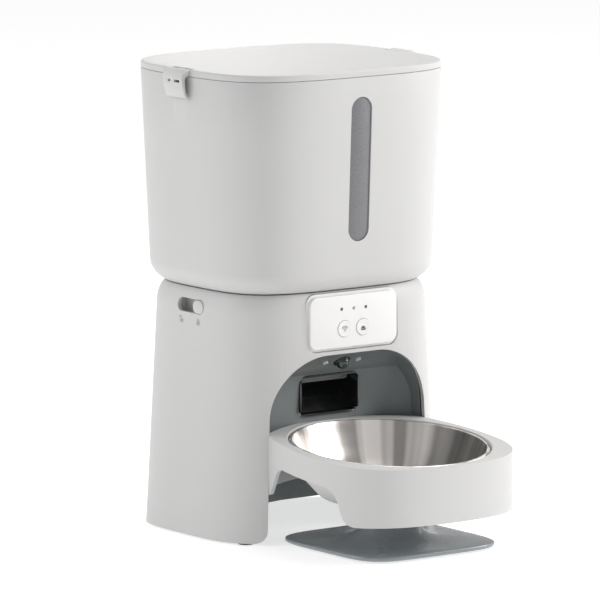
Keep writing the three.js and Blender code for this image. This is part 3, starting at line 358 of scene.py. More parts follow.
def turned(name, profile, sides):
    """A profile of (radius, height) points spun about Z."""
    curve = bpy.data.curves.new(name, "CURVE")
    curve.dimensions = "3D"
    spline = curve.splines.new("POLY")
    spline.points.add(len(profile) - 1)
    for point, (radius, height) in zip(spline.points, profile):
        point.co = (radius, 0, height, 1)
    piece = bpy.data.objects.new(name, curve)
    bpy.context.collection.objects.link(piece)
    take(piece)
    bpy.ops.object.convert(target="MESH")
    piece = bpy.context.object
    edit(piece)
    bpy.ops.mesh.select_all(action="SELECT")
    bpy.ops.mesh.spin(steps=sides, angle=2 * math.pi, center=(0, 0, 0), axis=(0, 0, 1))
    weld()
    return piece


def corner(before, here, after, radius, steps):
    """Points of the short curve that rounds one corner."""
    a, b, c = Vector(before), Vector(here), Vector(after)
    reach = min(radius, (a - b).length * 0.45, (c - b).length * 0.45)
    start = b + (a - b).normalized() * reach
    end = b + (c - b).normalized() * reach
    shares = [step / steps for step in range(steps + 1)]
    return [tuple(start * (1 - t) ** 2 + b * 2 * t * (1 - t) + end * t**2) for t in shares]


def rounded_profile(points, radius, steps):
    """The points with each inner corner replaced by a short curve."""
    out = [points[0]]
    for before, here, after in zip(points, points[1:], points[2:]):
        out += corner(before, here, after, radius, steps)
    return out + [points[-1]]


def rounded_outline(points, steps=7):
    """A closed outline of (x, y, radius) points, each corner turned into a short curve."""
    out = []
    for k, (x, y, radius) in enumerate(points):
        before, after = points[k - 1][:2], points[(k + 1) % len(points)][:2]
        out += corner(before, (x, y), after, radius, steps) if radius else [(x, y)]
    return out


def apply(piece, modifier):
    take(piece)
    bpy.ops.object.modifier_apply(modifier=modifier.name)


def combine(piece, operation, *others):
    for other in others:
        modifier = piece.modifiers.new(operation.lower(), "BOOLEAN")
        modifier.operation = operation
        modifier.solver = "EXACT"
        modifier.object = other
        apply(piece, modifier)
        bpy.data.objects.remove(other)


def cut(piece, *others):
    combine(piece, "DIFFERENCE", *others)


def join(piece, *others):
    combine(piece, "UNION", *others)


def meet(piece, *others):
    combine(piece, "INTERSECT", *others)


def soften(piece, width, angle):
    """Rounds the sharp edges of a piece by a bevel."""
    modifier = piece.modifiers.new("soft edges", "BEVEL")
    modifier.width = width
    modifier.segments = 2
    modifier.limit_method = "ANGLE"
    modifier.angle_limit = math.radians(angle)
    modifier.use_clamp_overlap = True
    apply(piece, modifier)


def tidy(piece):
    """Clears slivers that a cut leaves."""
    edit(piece)
    bpy.ops.mesh.select_all(action="SELECT")
    bpy.ops.mesh.remove_doubles(threshold=2e-6)
    bpy.ops.mesh.dissolve_degenerate(threshold=1e-6)
    leave()
    return piece


def shade(piece, angle=32):
    take(piece)
    bpy.ops.object.shade_smooth_by_angle(angle=math.radians(angle))
    return piece


def refined(name, node, width, angle):
    """A copy of a CAD node with its loose triangles merged, its sharp edges rounded and its faces shaded."""
    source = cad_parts[node]
    deselect()
    piece = source.copy()
    piece.data = source.data.copy()
    for key in list(piece.keys()):
        del piece[key]
    bpy.context.collection.objects.link(piece)
    piece.parent = None
    piece.name = name
    piece.data.name = name
    piece.data.materials.clear()
    edit(piece)
    bpy.ops.mesh.select_all(action="SELECT")
    bpy.ops.mesh.remove_doubles(threshold=1e-6)
    bpy.ops.mesh.dissolve_limited(angle_limit=math.radians(1))
    leave()
    soften(piece, width, angle)
    return shade(piece)


def finish(piece, finish_name, body, slot, *nodes):
    """Gives a piece its finish and body, and hides the CAD nodes it stands for."""
    piece.data.materials.clear()
    piece.data.materials.append(material(finish_name))
    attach(piece, body)
    if nodes:
        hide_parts(*nodes)


def recast(name, node, width, finish_name, body, slot, angle=40):
    """Puts a refined copy of a CAD node in its place."""
    finish(refined(name, node, width, angle), finish_name, body, slot, node)


# ---------------------------------------------------------------- materials


class Nodes:
    """A short way to lay out a material's nodes."""

    def __init__(self, name):
        self.material = bpy.data.materials.new(name)
        self.material.use_nodes = True
        self.tree = self.material.node_tree
        self.shader = self.tree.nodes["Principled BSDF"]
        place = self.tree.nodes.new("ShaderNodeTexCoord")
        self.place = place.outputs["Object"]

    def add(self, kind, values=(), **settings):
        node = self.tree.nodes.new(kind)
        for key, value in settings.items():
            setattr(node, key, value)
        for key, value in dict(values).items():
            node.inputs[key].default_value = value
        return node

    def link(self, output, target):
        self.tree.links.new(output, target)

    def noise(self, scale, detail, roughness=0.5):
        node = self.add("ShaderNodeTexNoise", {"Scale": scale, "Detail": detail, "Roughness": roughness})
        self.link(self.place, node.inputs["Vector"])
        return node.outputs["Fac"]

    def ramp(self, value, low, high, start=0.3, end=0.7):
        """Maps a value to a colour between two."""
        node = self.add("ShaderNodeValToRGB")
        node.color_ramp.elements[0].position = start
        node.color_ramp.elements[1].position = end
        node.color_ramp.elements[0].color = (*low, 1)
        node.color_ramp.elements[1].color = (*high, 1)
        self.link(value, node.inputs["Fac"])
        return node.outputs["Color"]

    def range(self, value, low, high):
        node = self.add("ShaderNodeMapRange", {"To Min": low, "To Max": high})
        self.link(value, node.inputs["Value"])
        return node.outputs["Result"]

    def bump(self, value, strength, distance, normal=None):
        node = self.add("ShaderNodeBump", {"Strength": strength, "Distance": distance})
        self.link(value, node.inputs["Height"])
        if normal:
            self.link(normal, node.inputs["Normal"])
        return node.outputs["Normal"]

    def set(self, **values):
        """Sets inputs of the shader, written with _ for each space."""
        for key, value in values.items():
            self.shader.inputs[key.replace("_", " ")].default_value = value

    def feed(self, **outputs):
        """Links outputs to inputs of the shader, written with _ for each space."""
        for key, output in outputs.items():
            self.link(output, self.shader.inputs[key.replace("_", " ")])


def scaled(rgb, factor):
    return tuple(min(1, channel * factor) for channel in rgb)


def moulded(name, rgb, rough, grain, drift=0.03, coat=0.0):
    """Moulded plastic: a fine spark-eroded grain, a slow drift of tone and an uneven sheen."""
    n = Nodes(name)
    slow = n.noise(9, 3)
    n.feed(Base_Color=n.ramp(slow, scaled(rgb, 1 - drift), scaled(rgb, 1 + drift)))
    patches = n.noise(60, 5, 0.6)
    n.feed(Roughness=n.range(patches, rough - 0.06, rough + 0.06))
    coarse = n.bump(n.noise(700, 2), grain * 0.6, 0.0004)
    n.feed(Normal=n.bump(n.noise(2600, 3, 0.7), grain, 0.0002, coarse))
    n.set(IOR=1.49, Coat_Weight=coat, Coat_Roughness=0.12)
    return n


def make_window(name, rgb):
    n = Nodes(name)
    speck = n.add("ShaderNodeTexVoronoi", {"Scale": 1500.0, "Randomness": 1.0})
    n.link(n.place, speck.inputs["Vector"])
    fine = n.noise(1500, 2, 0.8)
    mix = n.add("ShaderNodeMath", operation="MULTIPLY")
    n.link(speck.outputs["Distance"], mix.inputs[0])
    n.link(fine, mix.inputs[1])
    n.feed(Base_Color=n.ramp(mix.outputs["Value"], scaled(rgb, 1.25), scaled(rgb, 0.85), 0.08, 0.42))
    n.feed(Roughness=n.range(n.noise(400, 3), 0.28, 0.42))
    n.feed(Normal=n.bump(fine, 0.25, 0.0002))
    n.set(IOR=1.5)
    return n


def make_lens(name, rgb):
    n = Nodes(name)
    n.feed(Base_Color=n.ramp(n.noise(240, 2), rgb, scaled(rgb, 3)))
    n.feed(Roughness=n.range(n.noise(300, 3), 0.03, 0.07))
    n.set(IOR=1.6, Coat_Weight=0.4, Coat_Roughness=0.05, Coat_Tint=(0.8, 0.92, 0.88, 1))
    return n


def make_lamp(name, rgb):
    n = Nodes(name)
    n.feed(Base_Color=n.ramp(n.noise(500, 2), scaled(rgb, 0.85), scaled(rgb, 1.1)))
    n.feed(Roughness=n.range(n.noise(200, 2), 0.12, 0.22))
    n.set(IOR=1.55, Subsurface_Weight=0.2, Subsurface_Scale=0.001)
    return n


def make_board(name, rgb):
    """Solder mask over copper traces."""
    n = Nodes(name)
    turn = n.add("ShaderNodeMapping", {"Rotation": (math.pi / 2, 0, 0)})
    n.link(n.place, turn.inputs["Vector"])
    sizes_of_traces = {"Scale": 220.0, "Mortar Size": 0.03, "Brick Width": 0.9, "Row Height": 0.4}
    traces = n.add("ShaderNodeTexBrick", sizes_of_traces)
    n.link(turn.outputs["Vector"], traces.inputs["Vector"])
    traces.inputs["Color1"].default_value = (*rgb, 1)
    traces.inputs["Color2"].default_value = (*scaled(rgb, 0.8), 1)
    traces.inputs["Mortar"].default_value = (*scaled(rgb, 2.2), 1)
    n.feed(Base_Color=traces.outputs["Color"])
    n.feed(Roughness=n.range(n.noise(900, 2), 0.3, 0.45))
    n.feed(Normal=n.bump(traces.outputs["Fac"], 0.3, 0.00005))
    return n


def make_cell(name, rgb):
    """A shrink sleeve with lighter bands across it."""
    n = Nodes(name)
    wave = n.add("ShaderNodeTexWave", {"Scale": 12.0, "Distortion": 0.0}, wave_type="BANDS")
    wave.bands_direction = "Y"
    n.link(n.place, wave.inputs["Vector"])
    n.feed(Base_Color=n.ramp(wave.outputs["Fac"], rgb, (0.45, 0.36, 0.12), 0.72, 0.76))
    n.feed(Roughness=n.range(n.noise(300, 3), 0.25, 0.38))
    n.feed(Normal=n.bump(n.noise(260, 2), 0.15, 0.0003))
    n.set(Metallic=0.4)
    return n


def make_bowl_steel(name, rgb):
    """Spun stainless steel: fine rings, and painted reflections: light and dark streaks round the bowl's
    wall, painted into its colour.
    """
    n = Nodes(name)
    centre = n.add("ShaderNodeMapping", {"Location": (0, -BOWL_Y, 0)})
    n.link(n.place, centre.inputs["Vector"])
    rings = n.add("ShaderNodeTexWave", {"Scale": 900.0, "Distortion": 1.5, "Detail": 2.0}, wave_type="RINGS")
    rings.rings_direction = "Z"
    n.link(centre.outputs["Vector"], rings.inputs["Vector"])
    # Painted reflection: bands of lighter and darker tone round the bowl's axis stand in for the lights
    # reflected in the steel.
    painted_reflection_angle = n.add("ShaderNodeTexGradient", gradient_type="RADIAL")
    n.link(centre.outputs["Vector"], painted_reflection_angle.inputs["Vector"])
    turn = n.add("ShaderNodeMath", {1: 20.0}, operation="MULTIPLY")
    n.link(painted_reflection_angle.outputs["Fac"], turn.inputs[0])
    around = n.add("ShaderNodeTexNoise", {"Scale": 1.0, "Detail": 2.0}, noise_dimensions="1D")
    n.link(turn.outputs["Value"], around.inputs["W"])
    # The painted reflection's bands darken and lighten the steel's own colour.
    tone = n.ramp(around.outputs["Fac"], scaled(rgb, 0.55), scaled(rgb, 1.35), 0.34, 0.6)
    n.feed(Base_Color=tone)
    n.feed(Roughness=n.range(n.noise(180, 4, 0.6), 0.28, 0.36))
    n.feed(Normal=n.bump(rings.outputs["Fac"], 0.035, 0.0001))
    n.set(Metallic=1.0, Anisotropic=0.35)
    return n


def make_zinc(name, rgb):
    n = Nodes(name)
    n.feed(Base_Color=n.ramp(n.noise(220, 5, 0.65), scaled(rgb, 0.75), scaled(rgb, 1.15)))
    n.feed(Roughness=n.range(n.noise(500, 4), 0.28, 0.5))
    n.feed(Normal=n.bump(n.noise(1400, 3), 0.12, 0.0002))
    n.set(Metallic=1.0)
    return n


def make_rubber(name, rgb):
    n = moulded(name, rgb, 0.82, 0.35, 0.15)
    n.set(Sheen_Weight=0.25, Sheen_Roughness=0.5)
    return n


def make_floor(name, rgb):
    n = Nodes(name)
    n.feed(Base_Color=n.ramp(n.noise(0.8, 2), scaled(rgb, 0.995), rgb))
    n.feed(Roughness=n.range(n.noise(4, 2), 0.85, 0.95))
    n.set(Specular_IOR_Level=0.1, Emission_Color=(1, 1, 1, 1), Emission_Strength=0.62)
    return n


# For each finish: its maker, its name and, if moulded, its roughness, grain, drift of tone and coat
FINISHES = {
    "shell": (moulded, "shell_plastic", 0.5, 0.12, 0.012),
    "panel": (moulded, "panel_plastic", 0.38, 0.06, 0.01, 0.15),
    "dark": (moulded, "niche_plastic", 0.5, 0.2, 0.05),
    "grey": (moulded, "pedestal_plastic", 0.26, 0.06, 0.04, 0.3),
    "black": (moulded, "gloss_black_plastic", 0.16, 0.03, 0.2, 0.5),
    "inner": (moulded, "inner_plastic", 0.55, 0.15, 0.04),
    "gear": (moulded, "gear_plastic", 0.42, 0.08, 0.04),
    "window": (make_window, "smoked_window"),
    "rubber": (make_rubber, "soft_rubber"),
    "lens": (make_lens, "camera_glass"),
    "lamp": (make_lamp, "lamp_cover"),
    "board": (make_board, "circuit_board"),
    "cell": (make_cell, "cell_sleeve"),
    "steel": (make_bowl_steel, "bowl_steel"),
    "zinc": (make_zinc, "plated_steel"),
    "print": (moulded, "printed_ink", 0.6, 0.1, 0.05),
    "faint": (moulded, "pale_ink", 0.6, 0.1, 0.05),
    "floor": (make_floor, "studio_floor"),
}
made = {}


def material(name):
    """One material for each finish, made the first time it is used."""
    if name not in made:
        maker, title, *looks = FINISHES[name]
        made[name] = maker(title, colour(name), *looks).material
    return made[name]


# ---------------------------------------------------------------- sections of the housings


def arc_share(step, steps, end=math.pi / 3):
    """How far in and along a round is, over the first 60 degrees of an ellipse."""
    angle = end * step / steps
    return (1 - math.cos(angle)) / (1 - math.cos(end)), math.sin(angle) / math.sin(end)


def floor_ring():
    s = sizes()
    return Ring(0, s.floor_width / 2, s.floor_depth / 2, s.floor_power)


def seam_ring():
    s = sizes()
    return Ring(BASE_HIGH.z, s.seam_width / 2, s.seam_depth / 2, s.seam_power)


def shoulder_ring():
    s, seam = sizes(), seam_ring()
    z = BASE_HIGH.z - s.shoulder_drop
    return Ring(z, seam.half_x + s.shoulder_out, seam.half_y + s.shoulder_front, s.seam_power)


def rim_ring(z=HOPPER_HIGH.z):
    return Ring(z, RIM_HALF_X, RIM_HALF_Y, sizes().rim_power)


def foot_ring():
    s, seam = sizes(), seam_ring()
    power = (s.rim_power + s.seam_power) / 2
    return Ring(HOPPER_LOW.z + s.foot_rise, seam.half_x + s.foot_in, seam.half_y + s.foot_in, power)


def hopper_rings(amount, edge=0.0):
    """The hopper's outside, bottom to top, moved in by an amount, with its rim edge softened."""
    s, foot, steps = sizes(), foot_ring(), 8
    rings = []
    for step in range(steps, 0, -1):
        inward, along = arc_share(step, steps)
        rings.append(foot.inset(amount + s.foot_in * inward, foot.z - s.foot_rise * along))
    rings.append(foot.inset(amount))
    rings += [between(foot, rim_ring(), z).inset(amount) for z in (foot.z + 0.04, foot.z + 0.1)]
    rings.append(rim_ring(HOPPER_HIGH.z - edge).inset(amount))
    if edge:
        rings.append(rim_ring().inset(amount + edge * 0.3, HOPPER_HIGH.z - edge * 0.3))
        rings.append(rim_ring().inset(amount + edge))
    return rings


def base_rings(amount, bottom):
    s, low, seam, shoulder, steps = sizes(), floor_ring(), seam_ring(), shoulder_ring(), 8
    rings = [between(low, shoulder, z).inset(amount) for z in (bottom, 0.06, 0.12)]
    for step in range(steps + 1):
        inward, along = arc_share(step, steps)
        z = shoulder.z + s.shoulder_drop * along
        x = shoulder.half_x - s.shoulder_out * inward
        y = shoulder.half_y - s.shoulder_front * inward
        rings.append(Ring(z, x - amount, y - amount, seam.power))
    return rings


# ---------------------------------------------------------------- operators


# The soft lights: name, place, size, watts and tone
LIGHTS = (
    ("key", (2.6, -1.6, 1.5), 1.6, 70, (1, 0.985, 0.965)),
    ("rear_fill", (-2.2, 1.4, 1.6), 1.6, 16, (0.99, 0.995, 1)),
    ("top", (0.9, 0.2, 2.4), 1.8, 24, (1, 0.99, 0.975)),
)
# Upright strips that the steel reflects: degrees round the bowl from its front, and metres away
STRIPS = ((150, 1.5), (178, 1.7), (205, 1.5), (236, 1.8), (100, 1.7))
STRIP_Z, STRIP_WIDTH, STRIP_HEIGHT, STRIP_WATTS = 0.75, 0.16, 1.1, 1.3
STRIP_TONE = (1, 0.98, 0.96)
WORLD_STRENGTH = 0.47


class FEEDER_OT_stage(bpy.types.Operator):
    """Camera, soft studio lights and a plain pale floor"""

    bl_idname = "feeder.stage"
    bl_label = "Stage"

    def execute(self, context):
        s = sizes()
        target = Vector((s.view_target_x, AXIS_Y, s.view_target_z))
        a, e = s.view_turn, s.view_pitch
        back = Vector((math.sin(a) * math.cos(e), -math.cos(a) * math.cos(e), math.sin(e)))
        deselect()
        bpy.ops.object.camera_add(location=target + back * s.view_distance)
        camera = context.object
        camera.rotation_euler = back.to_track_quat("Z", "Y").to_euler()
        camera.data.lens = s.lens
        camera.data.clip_end = 50
        context.scene.camera = camera

        deselect()
        bpy.ops.mesh.primitive_plane_add(size=40, location=(0, 0, 0))
        floor = fresh("studio_floor")
        floor.data.materials.append(material("floor"))

        world = bpy.data.worlds.new("studio")
        context.scene.world = world
        world.use_nodes = True
        sky = world.node_tree.nodes["Background"]
        sky.inputs["Color"].default_value = (1, 1, 1, 1)
        sky.inputs["Strength"].default_value = WORLD_STRENGTH
        for light in LIGHTS:
            self.light(*light)
        for number, (turn, near) in enumerate(STRIPS):
            around = math.radians(turn)
            spot = (near * math.sin(around), BOWL_Y - near * math.cos(around), STRIP_Z)
            self.light(f"strip_{number}", spot, STRIP_WIDTH, STRIP_WATTS, STRIP_TONE, STRIP_HEIGHT)
        context.scene.view_settings.view_transform = "Standard"
        return {"FINISHED"}

    @staticmethod
    def light(name, place, size, watts, tone, height=0.0):
        """A soft round light, or an upright strip if it has a height, aimed at the feeder."""
        deselect()
        bpy.ops.object.light_add(type="AREA", location=place)
        lamp = bpy.context.object
        lamp.name = name
        lamp.data.shape = "RECTANGLE" if height else "DISK"
        lamp.data.size = size
        if height:
            lamp.data.size_y = height
        lamp.data.energy = watts
        lamp.data.color = tone
        toward = Vector(place) - Vector((0, AXIS_Y, 0.18))
        lamp.rotation_euler = toward.to_track_quat("Z", "Y").to_euler()


class FEEDER_OT_hopper(bpy.types.Operator):
    """The tapered hopper with its window slot and clip beads"""

    bl_idname = "feeder.hopper"
    bl_label = "Hopper"

    def execute(self, context):
        s = sizes()
        inner = hopper_rings(s.wall)
        shell = loft("hopper_body", hopper_rings(0, 0.5 * MM) + inner[::-1], hollow=True)
        slot = rounded_block(
            "slot",
            (PANE_LOW.x - GAP, HOPPER_LOW.y - 0.02, PANE_LOW.z - GAP),
            (PANE_HIGH.x + GAP, AXIS_Y - 0.04, PANE_HIGH.z + GAP),
            "Y",
            (PANE_HIGH.x - PANE_LOW.x) / 2 + GAP - 1e-5,
            20,
        )
        cut(shell, slot)
        bead_z, bead_half, proud = HOPPER_HIGH.z - 15 * MM, 10 * MM, HOPPER_HIGH.x
        for side in (-1, 1):
            x = sorted((side * (proud - 2 * MM), side * proud))
            bead = rounded_block(
                "bead",
                (x[0], AXIS_Y - bead_half, bead_z),
                (x[1], AXIS_Y + bead_half, bead_z + 2 * MM),
                "Y",
                0.7 * MM,
                4,
            )
            join(shell, bead)
        shade(tidy(shell))
        finish(shell, "shell", "hopper", "white_plastic", "hopper_shell")

        recast("hopper_window", "window_pane", 0.2 * MM, "window", "hopper", "window")
        recast("hopper_funnel_liner", "hopper_funnel", 0.4 * MM, "shell", "hopper", "white_plastic")
        return {"FINISHED"}


class FEEDER_OT_lid(bpy.types.Operator):
    """The lid with its soft edge, skirt and clip notches"""

    bl_idname = "feeder.lid"
    bl_label = "Lid"

    def execute(self, context):
        s = sizes()
        edge, band = s.lid_edge, TOP_Z - s.lid_band
        low = LID_LOW.z
        skirt_in, skirt_wall, skin = 6.4 * MM, 2 * MM, 2.6 * MM
        rim = rim_ring(band)
        rings = [
            rim.inset(skirt_in + skirt_wall, TOP_Z - skin),
            rim.inset(skirt_in + skirt_wall, low + 0.4 * MM),
            rim.inset(skirt_in + skirt_wall - 0.4 * MM, low),
            rim.inset(skirt_in + 0.4 * MM, low),
            rim.inset(skirt_in, low + 0.4 * MM),
            rim.inset(skirt_in, band),
            rim.inset(0.3 * MM, band),
            rim.inset(0, band + 0.3 * MM),
        ]
        steps = 6
        for step in range(steps + 1):
            angle = math.pi / 2 * step / steps
            rings.append(rim.inset(edge * (1 - math.cos(angle)), TOP_Z - edge + edge * math.sin(angle)))
        rings.append(rim.inset(12 * MM, TOP_Z))
        lid = loft("lid_top", rings)
        notch_half = (LATCH_HIGH.y - LATCH_LOW.y) / 2 + GAP
        pin_low, pin_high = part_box("latch_pin_right")
        pin_radius = (pin_high.z - pin_low.z) / 2 + GAP
        pin_length = pin_high.y - pin_low.y + 1 * MM
        for side in (-1, 1):
            x = sorted((side * (LATCH_LOW.x - 1.4 * MM), side * (RIM_HALF_X + 0.02)))
            notch_low = (x[0], AXIS_Y - notch_half, band - 0.1 * MM)
            notch_high = (x[1], AXIS_Y + notch_half, TOP_Z + 0.01)
            cut(lid, block("notch", notch_low, notch_high))
            pin = (side * (pin_low.x + pin_high.x) / 2, AXIS_Y, (pin_low.z + pin_high.z) / 2)
            cut(lid, rod("pin_hole", pin, pin_radius, pin_length, "Y", 24))
        shade(tidy(lid))
        finish(lid, "shell", "lid", "white_plastic", "lid_cover")
        for node in ("desiccant_box", "desiccant_cover"):
            recast(node + "_moulding", node, 0.4 * MM, "inner", "lid", "inner_plastic")
        return {"FINISHED"}


class FEEDER_OT_latches(bpy.types.Operator):
    """The two swinging clips that hold the lid"""

    bl_idname = "feeder.latches"
    bl_label = "Lid clips"

    def execute(self, context):
        for side in ("left", "right"):
            recast(f"lid_clip_{side}", f"latch_{side}", 0.5 * MM, "shell", f"{side}_clip", "white_plastic")
        return {"FINISHED"}


def arch_prism(bottom, y_low, y_high):
    """The arch's outline run along Y: legs that flare to the floor and elliptical top corners."""
    s = sizes()
    half, top = s.arch_half, s.arch_top
    foot = half + s.arch_flare
    spring = top - s.arch_corner_z
    pull = 0.5523  # handle length of a quarter ellipse
    kx, kz = s.arch_corner_x * pull, s.arch_corner_z * pull
    flat = half - s.arch_corner_x
    points = [
        (-foot, bottom),
        (foot, bottom),
        (half, spring, None, (half, spring + kz)),
        (flat, top, (flat + kx, top), None),
        (-flat, top, None, (-flat - kx, top)),
        (-half, spring, (-half, spring + kz), None),
    ]
    return prism("arch", points, "Y", y_low, y_high, 32)


class FEEDER_OT_base(bpy.types.Operator):
    """The base casing with its arch, panel recess, lock slot and inlet hole"""

    bl_idname = "feeder.base"
    bl_label = "Base"

    def execute(self, context):
        bottom = BASE_LOW.z + 0.3 * MM
        front_y = AXIS_Y - sizes().floor_depth / 2
        shell = self.casing(bottom)
        self.openings(shell, bottom, front_y)
        for number in range(1, 5):
            self.support(shell, bottom, number)
        shade(tidy(shell))
        finish(shell, "shell", "base", "white_plastic", "base_shell")
        for number in range(1, 5):
            recast(f"foot_{number}", f"rubber_foot_{number}", 0.25 * MM, "rubber", "base", "rubber")
        return {"FINISHED"}

    @staticmethod
    def casing(bottom):
        """The walls, the shoulder and the top with the hole of the rotor's well."""
        wall, top, seam = sizes().base_wall, BASE_HIGH.z, seam_ring()
        well = (DECK_HIGH.y - DECK_LOW.y) / 2 - 11 * MM
        outer = base_rings(0, bottom)
        outer[-1] = seam.inset(0.5 * MM, top)
        outer.insert(-1, seam.inset(0.05 * MM, top - 0.4 * MM))
        inside = base_rings(wall, bottom)[:-2]
        inside.append(seam.inset(wall, top - wall - 1.5 * MM))
        inside.append(seam.inset(wall + 1.5 * MM, top - wall))
        rings = outer + [Ring(top, well, well, 2, ROTOR_Y), Ring(top - wall, well, well, 2, ROTOR_Y)]
        return loft("base_casing", rings + inside[::-1], hollow=True)

    def openings(self, shell, bottom, front_y):
        """Cuts the arch, the panel's opening, the lock's slot and the inlet's hole."""
        cut(shell, arch_prism(-0.01, front_y - 0.05, ARCH_BACK_Y))
        opening = rounded_block(
            "opening",
            (PANEL_LOW.x - GAP, front_y - 0.03, PANEL_LOW.z - GAP),
            (PANEL_HIGH.x + GAP, PANEL_HIGH.y + 1 * MM, PANEL_HIGH.z + GAP),
            "Y",
            9.3 * MM,
            12,
        )
        slot_half, slot_rise = 17.5 * MM, 5.5 * MM
        slot = rounded_block(
            "slot",
            (-0.13, AXIS_Y - slot_half, LOCK_Z - slot_rise),
            (-0.07, AXIS_Y + slot_half, LOCK_Z + slot_rise),
            "X",
            5.49 * MM,
            16,
        )
        inlet = (INLET_LOW + INLET_HIGH) / 2
        radius = (INLET_HIGH.x - INLET_LOW.x) / 2 + GAP
        hole = rod("hole", (inlet.x, AXIS_Y + 0.08, inlet.z), radius, 0.06, "Y")
        cut(shell, opening, slot, hole)
        for side in (-1, 1):
            cut(shell, self.leg_rounding(side, bottom, front_y))

    @staticmethod
    def support(shell, bottom, number):
        """Adds the bored post of one cover screw and the gusset over one rubber foot."""
        screw_low, screw_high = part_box(f"cover_screw_{number}")
        centre = (screw_low + screw_high) / 2
        post = rod("post", (centre.x, centre.y, screw_high.z + 6 * MM), 5 * MM, 22 * MM, "Z", 32)
        meet(post, loft("limit", base_rings(1 * MM, bottom)))
        cut(post, rod("bore", centre, (screw_high.x - screw_low.x) / 2 + GAP, 0.03, "Z", 24))
        join(shell, post)
        foot_low, foot_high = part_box(f"rubber_foot_{number}")
        centre = (foot_low + foot_high) / 2
        gusset = rod("gusset", (centre.x, centre.y, foot_high.z + 1.8 * MM), 8.5 * MM, 3 * MM)
        meet(gusset, loft("limit", base_rings(0.2 * MM, bottom)))
        join(shell, gusset)

    @staticmethod
    def leg_rounding(side, bottom, front_y):
        """What rounds the lower front corner of one leg of the arch."""
        s, r = sizes(), 10 * MM
        spring, z = s.arch_top - s.arch_corner_z, bottom + r
        edge = s.arch_half + s.arch_flare * (spring - z) / (spring + 10 * MM)
        points = [
            (side * (edge - 2 * MM), z),
            (side * (edge - 2 * MM), bottom - 5 * MM),
            (side * (edge + r), bottom - 5 * MM),
            (side * (edge + r), bottom, None, (side * (edge + r * 0.45), bottom)),
            (side * edge, z, (side * edge, z - r * 0.55), None),
        ]
        return prism("rounding", points, "Y", front_y - 0.05, ARCH_BACK_Y, 12)


class FEEDER_OT_niche(bpy.types.Operator):
    """The dark liner behind the arch, with the lens, lamps, chute and baffle"""

    bl_idname = "feeder.niche"
    bl_label = "Niche"

    def execute(self, context):
        recast("niche_shell", "niche_liner", 0.3 * MM, "dark", "base", "dark_plastic", 50)
        recast("chute_tube", "chute_duct", 0.3 * MM, "black", "base", "black_plastic")
        recast("chute_flap", "chute_baffle", 0.4 * MM, "dark", "base", "dark_plastic")
        recast("camera_window", "camera_lens", 0.5 * MM, "lens", "base", "lens")
        for side in ("left", "right"):
            recast(f"infrared_lamp_{side}", f"infrared_{side}", 0.4 * MM, "lamp", "base", "lamp_plastic")
        return {"FINISHED"}


class FEEDER_OT_panel(bpy.types.Operator):
    """The control panel with its two keys, three lights and pictograms"""

    bl_idname = "feeder.panel"
    bl_label = "Control panel"

    def execute(self, context):
        groove, back = 2 * MM, PANEL_HIGH.y
        face_low = (PANEL_LOW.x + groove, PANEL_LOW.y, PANEL_LOW.z + groove)
        face_high = (PANEL_HIGH.x - groove, back, PANEL_HIGH.z - groove)
        face = rounded_block("panel_face", face_low, face_high, "Y", 7 * MM, 12, 0.8 * MM)
        flange_front = PANEL_LOW.y + 3.2 * MM
        flange = rounded_block(
            "flange",
            (PANEL_LOW.x, flange_front, PANEL_LOW.z),
            (PANEL_HIGH.x, back, PANEL_HIGH.z),
            "Y",
            9 * MM,
            12,
        )
        join(face, flange)
        wall = groove + 1.8 * MM
        hollow = rounded_block(
            "hollow",
            (PANEL_LOW.x + wall, PANEL_LOW.y + 2.4 * MM, PANEL_LOW.z + wall),
            (PANEL_HIGH.x - wall, back + 0.01, PANEL_HIGH.z - wall),
            "Y",
            5 * MM,
            6,
        )
        cut(face, hollow)
        for name in ("wifi_button", "feed_button"):
            low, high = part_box(name)
            radius = (high.x - low.x) / 2 - 1.4 * MM + GAP
            spot = ((low.x + high.x) / 2, PANEL_LOW.y, (low.z + high.z) / 2)
            cut(face, rod("key_hole", spot, radius, 0.02, "Y", 64))
            self.key(name, low, high)
        for name in ("indicator_left", "indicator_middle", "indicator_right"):
            low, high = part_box(name)
            radius = (high.x - low.x) / 2
            spot = ((low.x + high.x) / 2, PANEL_LOW.y, (low.z + high.z) / 2)
            cut(face, rod("light_hole", spot, radius + GAP, 0.02, "Y", 24))
            ink = "faint" if "middle" in name else "print"
            recast("light_" + name.split("_")[1], name, 0.15 * MM, ink, "base", "lamp_plastic")
        shade(tidy(face))
        finish(face, "panel", "base", "panel_plastic", "control_panel")
        return {"FINISHED"}

    @staticmethod
    def key(name, low, high):
        """A round key with a flange behind the panel, a stem, a dished face and its pictogram."""
        radius = (high.x - low.x) / 2
        cap = radius - 1.4 * MM
        deep = high.y - low.y
        dish = 0.25 * MM
        profile = [
            (0, dish),
            (cap * 0.5, dish * 0.75),
            (cap - 0.9 * MM, 0.05 * MM),
            (cap - 0.5 * MM, 0),
            (cap - 0.1 * MM, 0.15 * MM),
            (cap, 0.5 * MM),
            (cap, 3.3 * MM),
            (radius, 3.3 * MM),
            (radius, 4.5 * MM),
            (2 * MM, 4.5 * MM),
            (2 * MM, deep),
            (0, deep),
        ]
        piece = turned(name + "_cap", profile, 72)
        piece.rotation_euler = (-math.pi / 2, 0, 0)
        middle = (low + high) / 2
        piece.location = (middle.x, low.y, middle.z)
        settle(piece)
        shade(piece, 40)
        body = name.split("_")[0] + "_key"
        finish(piece, "panel", body, "panel_plastic", name)
        front = low.y + dish * 0.6
        glyph = wifi_glyph(middle, front) if name.startswith("wifi") else bowl_glyph(middle, front)
        finish(glyph, "faint" if name.startswith("wifi") else "print", body, "panel_plastic")


